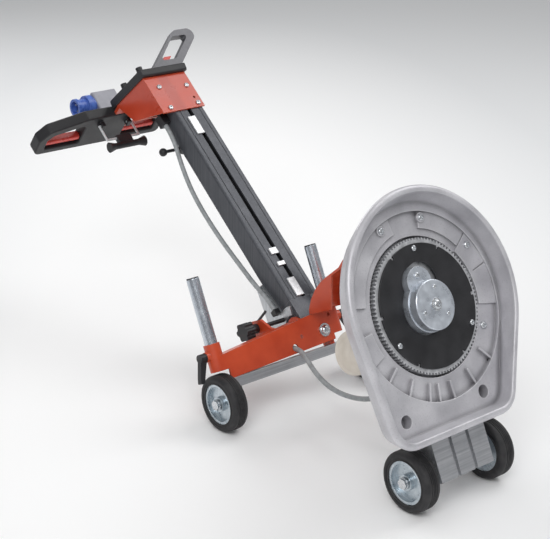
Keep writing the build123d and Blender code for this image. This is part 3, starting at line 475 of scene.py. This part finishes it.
# Bare aluminium bars: the ribbed wheel bracket and the cross bar, cut from extrusion.
# The drawing lines run along the axles, and the skin is dull with handling.
bar_alloy, tree, shader, place = new_finish("bar_alloy", 0.4, 0.75)
drawn = clouds(tree, place, 0.0035, 3.0, (0.02, 1.0, 1.0))
dull = clouds(tree, place, 0.04, 4.0)
bar_tone = tones(tree, drawn, (0.25, linear(168, 170, 174)), (0.75, linear(206, 207, 210)))
bar_tone = over(tree, spread(tree, dull, 0.0, 0.35, 0.45, 0.75), bar_tone, linear(146, 148, 153))
bar_tone = edge_wear_and_highlight(tree, bar_tone, 0.0015, 0.6, linear(230, 231, 234))
tree.links.new(bar_tone, shader.inputs["Base Color"])
tree.links.new(spread(tree, dull, 0.3, 0.5), shader.inputs["Roughness"])
relief(tree, shader, drawn, 0.00012, 0.001, 0.6)
dress(bar_alloy, "wheel_bracket", "cross_bar")

# Axles: plain ground steel, seen only between the wheels and their blocks.
# They share the plated finish of the screws, as does the hinge pin.
dress(bright_steel, "axles", "hinge_pin")


# Axle hardware: a six-sided nut on a washer at each wheel, and a spacer tube each side of the bracket.
# The nuts are bevelled at their corners, and all are plated.
along_axle = (0.0, math.radians(90), 0.0)


def turned_tube(outer, inner, length, bevel):
    """The mesh of a short tube on the x axis, from the origin outwards, with eased ends."""
    bpy.ops.object.select_all(action="DESELECT")
    bpy.ops.mesh.primitive_cylinder_add(vertices=48, radius=outer, depth=length, rotation=along_axle)
    tube = bpy.context.object
    bpy.ops.object.transform_apply(location=True, rotation=True, scale=True)
    bpy.ops.object.mode_set(mode="EDIT")
    bpy.ops.mesh.select_mode(type="FACE")
    bpy.ops.mesh.select_all(action="DESELECT")
    bpy.ops.object.mode_set(mode="OBJECT")
    for face in tube.data.polygons:
        face.select = abs(face.normal.x) > 0.9
    bpy.ops.object.mode_set(mode="EDIT")
    bpy.ops.mesh.inset(thickness=outer - inner, use_individual=True)
    bpy.ops.mesh.bridge_edge_loops()
    bpy.ops.mesh.select_all(action="SELECT")
    bpy.ops.mesh.normals_make_consistent(inside=False)
    bpy.ops.object.mode_set(mode="OBJECT")
    ease = tube.modifiers.new("ease", "BEVEL")
    ease.width = bevel
    ease.segments = 2
    ease.limit_method = "ANGLE"
    bpy.ops.object.modifier_apply(modifier=ease.name)
    mesh = tube.data
    bpy.data.objects.remove(tube)
    mesh.transform(Matrix.Translation((length / 2, 0.0, 0.0)))
    return mesh


nut_depth = 0.005
washer_depth = 0.002
bpy.ops.object.select_all(action="DESELECT")
bpy.ops.mesh.primitive_cylinder_add(vertices=6, radius=0.0118, depth=nut_depth, rotation=along_axle)
nut = bpy.context.object
bpy.ops.object.transform_apply(location=True, rotation=True, scale=True)
bpy.ops.object.mode_set(mode="EDIT")
bpy.ops.mesh.select_all(action="SELECT")
bpy.ops.mesh.bevel(offset=0.0008, segments=2, affect="EDGES")
bpy.ops.object.mode_set(mode="OBJECT")
nut_mesh = nut.data
bpy.data.objects.remove(nut)
nut_mesh.transform(Matrix.Translation((washer_depth + nut_depth / 2, 0.0, 0.0)))
washer_ring = turned_tube(0.012, 0.006, washer_depth, 0.0003)
wheel_width = 0.038
hardware_places = []
for joint_name, side in (
    ("front_left_roll", -1), ("front_right_roll", 1), ("rear_left_roll", -1), ("rear_right_roll", 1),
):
    turn = Matrix.Rotation(math.radians(180), 4, "Z") if side < 0 else Matrix.Identity(4)
    seat = Matrix.Translation(pivot[joint_name] + Vector((side * wheel_width / 2, 0.0, 0.0))) @ turn
    hardware_places.append((washer_ring, seat))
    hardware_places.append((nut_mesh, seat))
front_axle = Matrix.Translation(machine @ Vector((0.0, 0.067, -0.310)))
for start, length in ((-0.0856, 0.0076), (0.066, 0.0196)):
    spacer = turned_tube(0.013, 0.008, length, 0.0004)
    hardware_places.append((spacer, front_axle @ Matrix.Translation((start, 0.0, 0.0))))
axle_nuts = set_in_place("axle_nuts", "chassis", bright_steel, hardware_places)
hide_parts("axle_hardware")

# Tyres: solid black rubber, moulded with a rounded shoulder and four shallow running grooves.
# A raised bead runs round each sidewall next to the rim, and floor dust greys the tread.
wheel_radius = 0.062
tyre_height = 0.018
grooves = ((0.0008, 0.0028), (0.0052, 0.0072))
bpy.ops.object.select_all(action="DESELECT")
bpy.ops.mesh.primitive_cylinder_add(
    vertices=96, radius=wheel_radius, depth=wheel_width, rotation=along_axle
)
tyre = bpy.context.object
bpy.ops.object.transform_apply(location=True, rotation=True, scale=True)
bpy.ops.object.mode_set(mode="EDIT")
bpy.ops.mesh.select_mode(type="FACE")
bpy.ops.mesh.select_all(action="DESELECT")
bpy.ops.object.mode_set(mode="OBJECT")
for face in tyre.data.polygons:
    face.select = abs(face.normal.x) > 0.9
bpy.ops.object.mode_set(mode="EDIT")
bpy.ops.mesh.inset(thickness=tyre_height, use_individual=True)
bpy.ops.mesh.bridge_edge_loops()
bpy.ops.mesh.select_all(action="SELECT")
bpy.ops.mesh.normals_make_consistent(inside=False)
bpy.ops.mesh.select_mode(type="EDGE")
bpy.ops.mesh.select_all(action="DESELECT")
bpy.ops.object.mode_set(mode="OBJECT")
for edge in tyre.data.edges:
    ends = [tyre.data.vertices[index].co for index in edge.vertices]
    edge.select = all(end.yz.length > 0.06 for end in ends) and abs(ends[0].x - ends[1].x) < 0.001
bpy.ops.object.mode_set(mode="EDIT")
bpy.ops.mesh.bevel(offset=0.009, segments=8, affect="EDGES")
for cut in sorted(side * edge for groove in grooves for edge in groove for side in (-1, 1)):
    bpy.ops.mesh.select_all(action="SELECT")
    bpy.ops.mesh.bisect(plane_co=(cut, 0.0, 0.0), plane_no=(1.0, 0.0, 0.0))
bpy.ops.mesh.select_mode(type="FACE")
bpy.ops.mesh.select_all(action="DESELECT")
bpy.ops.object.mode_set(mode="OBJECT")
for face in tyre.data.polygons:
    middle = abs(face.center.x)
    in_groove = any(inner < middle < outer for inner, outer in grooves)
    face.select = face.center.yz.length > wheel_radius - 0.004 and in_groove
bpy.ops.object.mode_set(mode="EDIT")
bpy.ops.mesh.extrude_region_shrink_fatten(TRANSFORM_OT_shrink_fatten={"value": -0.0011})
bpy.ops.mesh.select_all(action="DESELECT")
bpy.ops.object.mode_set(mode="OBJECT")
for face in tyre.data.polygons:
    face.select = abs(face.normal.x) > 0.9 and face.center.yz.length < 0.0535
bpy.ops.object.mode_set(mode="EDIT")
bpy.ops.mesh.inset(thickness=0.0025)
bpy.ops.mesh.extrude_region_shrink_fatten(TRANSFORM_OT_shrink_fatten={"value": -0.0009})
bpy.ops.mesh.select_all(action="SELECT")
bpy.ops.mesh.normals_make_consistent(inside=False)
bpy.ops.object.mode_set(mode="OBJECT")
tyre_mesh = tyre.data
bpy.data.objects.remove(tyre)
tyre_rubber, tree, shader, place = new_finish("tyre_rubber", 0.62, 0.0)
road_dust = clouds(tree, place, 0.018, 6.0)
tyre_tone = tones(tree, road_dust, (0.35, linear(26, 26, 29)), (0.75, linear(58, 57, 58)))
tree.links.new(tyre_tone, shader.inputs["Base Color"])
tree.links.new(spread(tree, road_dust, 0.5, 0.75), shader.inputs["Roughness"])
relief(tree, shader, clouds(tree, place, 0.0014, 4.0), 0.0003, 0.0008, 0.7)
for corner in ("front_left", "front_right", "rear_left", "rear_right"):
    where = Matrix.Translation(pivot[corner + "_roll"])
    moulded = set_in_place(corner + "_moulded_tyre", corner + "_wheel", tyre_rubber, [(tyre_mesh, where)])
    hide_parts(corner + "_tyre")

# Wheel rims: pressed steel dishes, zinc plated, with a faint blue cast and crystal spangle.
# The plating is brighter on the rolled lip and the hub.
rim_zinc, tree, shader, place = new_finish("rim_zinc", 0.3, 0.85)
spangle = tree.nodes.new("ShaderNodeTexVoronoi")
spangle.inputs["Scale"].default_value = 260.0
tree.links.new(place, spangle.inputs["Vector"])
zinc_clouds = clouds(tree, place, 0.015, 4.0)
zinc_tone = tones(tree, zinc_clouds, (0.3, linear(168, 180, 188)), (0.7, linear(214, 221, 226)))
spangled = spread(tree, spangle.outputs["Distance"], 0.25, 0.0, 0.0, 0.7)
zinc_tone = over(tree, spangled, zinc_tone, linear(150, 164, 176))
zinc_tone = edge_wear_and_highlight(tree, zinc_tone, 0.0012, 0.6, linear(236, 240, 243))
tree.links.new(zinc_tone, shader.inputs["Base Color"])
tree.links.new(spread(tree, zinc_clouds, 0.22, 0.4), shader.inputs["Roughness"])
relief(tree, shader, zinc_clouds, 0.0002, 0.0012, 0.5)
dress(rim_zinc, "front_left_rim", "front_right_rim", "rear_left_rim", "rear_right_rim")

# Painted steelwork: the folded beam and the arched yoke, powder coated in orange-red.
# The coat has a fine orange peel and is chipped along its edges.
frame_orange, tree, shader, place = new_finish("frame_orange", 0.36, 0.0)
shader.inputs["Coat Weight"].default_value = 0.25
shader.inputs["Coat Roughness"].default_value = 0.2
paint_clouds = clouds(tree, place, 0.05, 5.0)
chips = clouds(tree, place, 0.006, 6.0)
peel = clouds(tree, place, 0.0018, 2.0)
paint_tone = tones(tree, paint_clouds, (0.3, linear(190, 64, 30)), (0.7, linear(208, 78, 40)))
chipped = tree.nodes.new("ShaderNodeMath")
chipped.operation = "MULTIPLY"
tree.links.new(edges(tree, 0.0018), chipped.inputs[0])
tree.links.new(spread(tree, chips, 0.0, 1.0, 0.5, 0.62), chipped.inputs[1])
paint_tone = edge_wear_and_highlight(tree, paint_tone, 0.003, 0.35, linear(230, 122, 84))
paint_tone = over(tree, chipped.outputs["Value"], paint_tone, linear(92, 84, 82))
tree.links.new(paint_tone, shader.inputs["Base Color"])
tree.links.new(spread(tree, paint_clouds, 0.3, 0.44), shader.inputs["Roughness"])
relief(tree, shader, peel, 0.0002, 0.0014, 0.6)
dress(frame_orange, "cross_beam", "motor_yoke")

# Axle blocks: small black painted castings clamped under the cross bar.
# They are dull, with patches of dust.
block_black, tree, shader, place = new_finish("block_black", 0.52, 0.0)
block_dust = clouds(tree, place, 0.012, 5.0)
block_tone = tones(tree, block_dust, (0.35, linear(28, 28, 31)), (0.75, linear(54, 53, 54)))
block_tone = edge_wear_and_highlight(tree, block_tone, 0.0015, 0.4, linear(110, 110, 114))
tree.links.new(block_tone, shader.inputs["Base Color"])
tree.links.new(spread(tree, block_dust, 0.44, 0.62), shader.inputs["Roughness"])
relief(tree, shader, clouds(tree, place, 0.002, 3.0), 0.0003, 0.0012, 0.7)
dress(block_black, "axle_blocks")

# Frame bolts: the pivot bolt on the beam, and the plain heads behind the yoke and the motor.
# They are plated like the screws, with a coarser finish.
dress(bright_steel, "frame_bolts")

# Pull bars: bright tubes that slide in the beam's sockets, with black plugs in their tops.
# Fine scratches run along them where the clamps have rubbed.
bar_chrome, tree, shader, place = new_finish("bar_chrome", 0.2, 0.9)
scratches = clouds(tree, place, 0.0016, 3.0, (1.0, 1.0, 0.03), -lean)
handled = clouds(tree, place, 0.03, 4.0)
chrome_tone = tones(tree, scratches, (0.3, linear(176, 184, 194)), (0.7, linear(218, 223, 229)))
tree.links.new(chrome_tone, shader.inputs["Base Color"])
tree.links.new(spread(tree, handled, 0.16, 0.34), shader.inputs["Roughness"])
relief(tree, shader, scratches, 0.00006, 0.0008, 0.5)
dress(bar_chrome, "left_pull_bar", "right_pull_bar")
bar_x = 0.166
plug_depth = 0.0024
bpy.ops.object.select_all(action="DESELECT")
bpy.ops.mesh.primitive_cylinder_add(
    vertices=48, radius=0.0132, depth=plug_depth, location=(0, 0, plug_depth / 2)
)
plug = bpy.context.object
bpy.ops.object.transform_apply(location=True, rotation=True, scale=True)
bpy.ops.object.mode_set(mode="EDIT")
bpy.ops.mesh.select_mode(type="FACE")
bpy.ops.mesh.select_all(action="DESELECT")
bpy.ops.object.mode_set(mode="OBJECT")
for face in plug.data.polygons:
    face.select = face.normal.z > 0.9
bpy.ops.object.mode_set(mode="EDIT")
bpy.ops.mesh.inset(thickness=0.0025)
bpy.ops.mesh.extrude_region_shrink_fatten(TRANSFORM_OT_shrink_fatten={"value": -0.0014})
bpy.ops.object.mode_set(mode="OBJECT")
ease = plug.modifiers.new("ease", "BEVEL")
ease.width = 0.0005
ease.segments = 2
ease.limit_method = "ANGLE"
bpy.ops.object.modifier_apply(modifier=ease.name)
plug_mesh = plug.data
bpy.data.objects.remove(plug)
for name, x in (("left", -bar_x), ("right", bar_x)):
    where = machine @ Matrix.Translation((x, 0.505, 0.174))
    bar_plug = set_in_place(name + "_bar_plug", name + "_bar", nylon_black, [(plug_mesh, where)])

# Column: a dark anodised aluminium profile with a slot down its front, on a matching hinge foot.
# Extrusion lines run the whole length, and the anodising is rubbed paler on the corners.
column_dark, tree, shader, place = new_finish("column_dark", 0.42, 0.35)
extruded = clouds(tree, place, 0.0028, 3.0, (1.0, 1.0, 0.015), -lean - column_lean)
column_wear = clouds(tree, place, 0.05, 5.0)
column_tone = tones(tree, extruded, (0.25, linear(64, 66, 71)), (0.75, linear(87, 89, 95)))
column_tone = over(tree, spread(tree, column_wear, 0.0, 0.3, 0.5, 0.8), column_tone, linear(112, 114, 120))
column_tone = edge_wear_and_highlight(tree, column_tone, 0.002, 0.6, linear(150, 152, 156))
tree.links.new(column_tone, shader.inputs["Base Color"])
tree.links.new(spread(tree, column_wear, 0.34, 0.5), shader.inputs["Roughness"])
relief(tree, shader, extruded, 0.00012, 0.0012, 0.6)
dress(column_dark, "column_profile", "column_foot")

# Slot clips: pale bright strips that close the slot at four places.
# They are bare aluminium, slightly marked.
clip_white, tree, shader, place = new_finish("clip_white", 0.34, 0.3)
clip_marks = clouds(tree, place, 0.006, 5.0)
clip_marks_tone = tones(tree, clip_marks, (0.3, linear(214, 216, 218)), (0.7, linear(240, 241, 242)))
tree.links.new(clip_marks_tone, shader.inputs["Base Color"])
tree.links.new(spread(tree, clip_marks, 0.26, 0.42), shader.inputs["Roughness"])
relief(tree, shader, clip_marks, 0.0001, 0.0008, 0.5)
dress(clip_white, "slot_clips")

# Tilt plate: a brushed steel gusset on the side of the foot, that the star knob presses on.
# The brushing runs along the column.
plate_silver, tree, shader, place = new_finish("plate_silver", 0.34, 0.9)
brushed = clouds(tree, place, 0.0012, 3.0, (1.0, 1.0, 0.04), -lean - column_lean)
plate_tone = tones(tree, brushed, (0.25, linear(164, 168, 172)), (0.75, linear(212, 214, 217)))
plate_tone = edge_wear_and_highlight(tree, plate_tone, 0.0015, 0.7, linear(238, 239, 240))
tree.links.new(plate_tone, shader.inputs["Base Color"])
tree.links.new(spread(tree, brushed, 0.26, 0.42), shader.inputs["Roughness"])
relief(tree, shader, brushed, 0.00008, 0.001, 0.6)
dress(plate_silver, "tilt_plate")

# Top bracket: folded sheet round the head of the column, in the frame's orange-red with a glossier coat.
# A darker band painted up its front is painted shade, for a strip of the glossy front that catches no
# reflection.
bracket_orange, tree, shader, place = new_finish("bracket_orange", 0.3, 0.0)
shader.inputs["Coat Weight"].default_value = 0.3
shader.inputs["Coat Roughness"].default_value = 0.16
bracket_clouds = clouds(tree, place, 0.06, 5.0)
shade_band_place = tree.nodes.new("ShaderNodeMapping")
shade_band_place.vector_type = "TEXTURE"
shade_band_place.inputs["Location"].default_value = pivot["column_tilt"]
shade_band_place.inputs["Rotation"].default_value = (-lean - column_lean, 0.0, 0.0)
shade_band_split = tree.nodes.new("ShaderNodeSeparateXYZ")
tree.links.new(place, shade_band_place.inputs["Vector"])
tree.links.new(shade_band_place.outputs["Vector"], shade_band_split.inputs["Vector"])
bracket_tone = tones(tree, bracket_clouds, (0.3, linear(184, 58, 30)), (0.7, linear(200, 70, 40)))
painted_shade_band = tones(
    tree, spread(tree, shade_band_split.outputs["X"], 0.0, 1.0, -0.08, 0.05),
    (0.30, (0.0, 0.0, 0.0, 1.0)), (0.36, (1.0, 1.0, 1.0, 1.0)),
    (0.52, (1.0, 1.0, 1.0, 1.0)), (0.6, (0.0, 0.0, 0.0, 1.0)),
)
# Painted shade: the band up the front is darkened to a deeper orange-red.
bracket_tone = over(tree, spread(tree, painted_shade_band, 0.0, 0.6, 0.0, 1.0), bracket_tone, linear(168, 50, 26))
bracket_tone = edge_wear_and_highlight(tree, bracket_tone, 0.003, 0.5, linear(236, 128, 92))
tree.links.new(bracket_tone, shader.inputs["Base Color"])
tree.links.new(spread(tree, bracket_clouds, 0.24, 0.38), shader.inputs["Roughness"])
relief(tree, shader, clouds(tree, place, 0.002, 2.0), 0.0002, 0.0014, 0.6)
dress(bracket_orange, "top_bracket")

# Column fasteners: four plated socket screws through the bracket's front, and the ball lever's stud behind.
# The stud is a plain turned pin with an eased end.
bracket_head = socket_head(0.0065, 0.0045, 0.003)
fastener_places = []
for x, z in ((-0.047, 0.685), (0.029, 0.677), (0.032, 0.622), (-0.049, 0.622)):
    fastener_places.append((bracket_head, column @ Matrix.Translation((x, -0.033, z)) @ forward))
stud_mesh = turned_tube(0.006, 0.0015, 0.036, 0.0008)
stud_turn = Matrix.Rotation(math.radians(90), 4, "Z")
fastener_places.append((stud_mesh, column @ Matrix.Translation((-0.015, 0.029, 0.555)) @ stud_turn))
column_heads = set_in_place("column_screw_heads", "column", bright_steel, fastener_places)
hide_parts("column_fasteners")

# Red levers: the two squeeze levers in the handle and the pad of the upper loop, in glossy red plastic.
# Thumbs have polished them, and they pale along the edges.
lever_red, tree, shader, place = new_finish("lever_red", 0.3, 0.0)
polish = clouds(tree, place, 0.02, 4.0)
red_tone = tones(tree, polish, (0.3, linear(196, 52, 44)), (0.7, linear(214, 74, 64)))
red_tone = edge_wear_and_highlight(tree, red_tone, 0.003, 0.45, linear(240, 140, 128))
tree.links.new(red_tone, shader.inputs["Base Color"])
tree.links.new(spread(tree, polish, 0.22, 0.4), shader.inputs["Roughness"])
relief(tree, shader, clouds(tree, place, 0.0015, 2.0), 0.00015, 0.0018, 0.5)
dress(lever_red, "left_trigger", "right_trigger", "loop_pad")

# Bail wire: bent zinc-plated steel wire under the handle.
# The zinc is pale and dull from handling.
wire_zinc, tree, shader, place = new_finish("wire_zinc", 0.42, 0.25)
wire_wear = clouds(tree, place, 0.003, 4.0)
wire_tone = tones(tree, wire_wear, (0.3, linear(196, 200, 204)), (0.7, linear(232, 234, 236)))
tree.links.new(wire_tone, shader.inputs["Base Color"])
tree.links.new(spread(tree, wire_wear, 0.34, 0.5), shader.inputs["Roughness"])
relief(tree, shader, wire_wear, 0.00006, 0.0, 0.5)
dress(wire_zinc, "bail_wire")

# Switch box: a light grey cast box on the handle's web, with a screwed lid.
# The paint is finely textured.
box_grey, tree, shader, place = new_finish("box_grey", 0.44, 0.1)
box_clouds = clouds(tree, place, 0.03, 4.0)
box_tone = tones(tree, box_clouds, (0.3, linear(150, 150, 158)), (0.7, linear(174, 174, 182)))
box_tone = edge_wear_and_highlight(tree, box_tone, 0.002, 0.5, linear(206, 206, 212))
tree.links.new(box_tone, shader.inputs["Base Color"])
tree.links.new(spread(tree, box_clouds, 0.38, 0.52), shader.inputs["Roughness"])
relief(tree, shader, clouds(tree, place, 0.0018, 4.0), 0.0003, 0.0012, 0.7)
dress(box_grey, "switch_box")
bpy.ops.object.select_all(action="DESELECT")
bpy.ops.mesh.primitive_cube_add(size=1.0)
lid = bpy.context.object
lid.scale = (0.066, 0.044, 0.004)
bpy.ops.object.transform_apply(location=True, rotation=True, scale=True)
bpy.ops.object.mode_set(mode="EDIT")
bpy.ops.mesh.select_mode(type="FACE")
bpy.ops.mesh.select_all(action="DESELECT")
bpy.ops.object.mode_set(mode="OBJECT")
for face in lid.data.polygons:
    face.select = face.normal.z > 0.9
bpy.ops.object.mode_set(mode="EDIT")
bpy.ops.mesh.inset(thickness=0.008)
bpy.ops.mesh.extrude_region_shrink_fatten(TRANSFORM_OT_shrink_fatten={"value": -0.0012})
bpy.ops.object.mode_set(mode="OBJECT")
ease = lid.modifiers.new("ease", "BEVEL")
ease.width = 0.0012
ease.segments = 3
ease.limit_method = "ANGLE"
bpy.ops.object.modifier_apply(modifier=ease.name)
lid_mesh = lid.data
bpy.data.objects.remove(lid)
lid_place = column @ Matrix.Translation((-0.0415, 0.1975, 0.846))
box_lid = set_in_place("switch_box_lid", "column", box_grey, [(lid_mesh, lid_place)])
lid_head = socket_head(0.0032, 0.002, 0.0014)
lid_places = []
for x in (-0.0285, 0.0285):
    for y in (-0.0175, 0.0175):
        lid_places.append((lid_head, lid_place @ Matrix.Translation((x, y, 0.002))))
lid_heads = set_in_place("lid_screw_heads", "column", bright_steel, lid_places)

# Power inlet: a blue moulded appliance inlet with a ribbed collar, and three plated pins in its bore.
# The plastic is glossy and slightly cloudy, with a painted highlight in pale blue along its edges.
inlet_blue, tree, shader, place = new_finish("inlet_blue", 0.28, 0.0)
blue_clouds = clouds(tree, place, 0.012, 4.0)
blue_tone = tones(tree, blue_clouds, (0.3, linear(66, 96, 182)), (0.7, linear(92, 126, 208)))
# Painted highlight: edges lightened to a pale blue.
blue_tone = edge_wear_and_highlight(tree, blue_tone, 0.002, 0.5, linear(140, 168, 230))
tree.links.new(blue_tone, shader.inputs["Base Color"])
tree.links.new(spread(tree, blue_clouds, 0.22, 0.36), shader.inputs["Roughness"])
relief(tree, shader, clouds(tree, place, 0.001, 2.0), 0.00012, 0.0012, 0.5)
dress(inlet_blue, "power_inlet")
pin_mesh = turned_tube(0.0026, 0.0006, 0.016, 0.0007)
inlet_floor = column @ Matrix.Translation((-0.107, 0.191, 0.820))
inward = Matrix.Rotation(math.radians(180), 4, "Z")
pin_circle = 0.0095
pin_places = []
for angle in (90.0, 210.0, 330.0):
    y = pin_circle * math.cos(math.radians(angle))
    z = pin_circle * math.sin(math.radians(angle))
    pin_places.append((pin_mesh, inlet_floor @ Matrix.Translation((0.0, y, z)) @ inward))
inlet_pins = set_in_place("inlet_pins", "column", bright_steel, pin_places)

# Upper loop: a grey painted carrying loop on the front of the slab, cast in one piece.
# The paint is semi-matt and rubbed pale on the outer bends.
loop_grey, tree, shader, place = new_finish("loop_grey", 0.4, 0.2)
loop_clouds = clouds(tree, place, 0.025, 5.0)
loop_tone = tones(tree, loop_clouds, (0.3, linear(88, 88, 92)), (0.7, linear(118, 118, 122)))
loop_tone = edge_wear_and_highlight(tree, loop_tone, 0.003, 0.6, linear(176, 176, 180))
tree.links.new(loop_tone, shader.inputs["Base Color"])
tree.links.new(spread(tree, loop_clouds, 0.32, 0.48), shader.inputs["Roughness"])
relief(tree, shader, clouds(tree, place, 0.0018, 3.0), 0.0003, 0.002, 0.6)
dress(loop_grey, "upper_loop")

# Cables: grey rubber-sheathed flex, eleven millimetres thick, one down the side of the column
# and one in a loop from the beam to the junction box. The sheath is smooth and dusty.
cable_grey, tree, shader, place = new_finish("cable_grey", 0.46, 0.0)
sheath = clouds(tree, place, 0.01, 5.0)
sheath_tone = tones(tree, sheath, (0.3, linear(142, 146, 148)), (0.7, linear(170, 174, 176)))
tree.links.new(sheath_tone, shader.inputs["Base Color"])
tree.links.new(spread(tree, sheath, 0.38, 0.54), shader.inputs["Roughness"])
relief(tree, shader, clouds(tree, place, 0.0012, 3.0), 0.00015, 0.0, 0.5)
column_route = [
    (-0.052, 0.014, 0.606), (-0.052, 0.014, 0.566), (-0.052, 0.040, 0.508), (-0.052, 0.058, 0.444),
    (-0.052, 0.062, 0.380), (-0.052, 0.060, 0.320), (-0.052, 0.054, 0.264), (-0.052, 0.046, 0.210),
    (-0.055, 0.036, 0.164), (-0.055, 0.026, 0.122), (-0.055, 0.020, 0.094), (-0.055, 0.020, 0.070),
]
motor_route = [
    (0.034, 0.506, -0.030), (0.034, 0.474, -0.038), (0.024, 0.446, -0.064), (0.017, 0.418, -0.100),
    (0.018, 0.384, -0.134), (0.024, 0.340, -0.158), (0.031, 0.290, -0.170), (0.035, 0.238, -0.166),
    (0.035, 0.196, -0.148), (0.034, 0.160, -0.127), (0.034, 0.124, -0.127),
]
for name, axes, body, node, route, length in (
    ("column_flex", column, "column", "column_cable", column_route, 0.547),
    ("motor_flex", machine, "chassis", "motor_cable", motor_route, 0.442),
):
    line = bpy.data.curves.new(name, "CURVE")
    line.dimensions = "3D"
    line.bevel_depth = 0.0055
    line.bevel_resolution = 6
    line.resolution_u = 10
    line.use_fill_caps = True
    spline = line.splines.new("NURBS")
    spline.points.add(len(route) - 1)
    for point, spot in zip(spline.points, route):
        point.co = (*(axes @ Vector(spot)), 1.0)
    spline.order_u = 3
    spline.use_endpoint_u = True
    flex = bpy.data.objects.new(name, line)
    bpy.context.collection.objects.link(flex)
    line.materials.append(cable_grey)
    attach(flex, body)
    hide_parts(node)
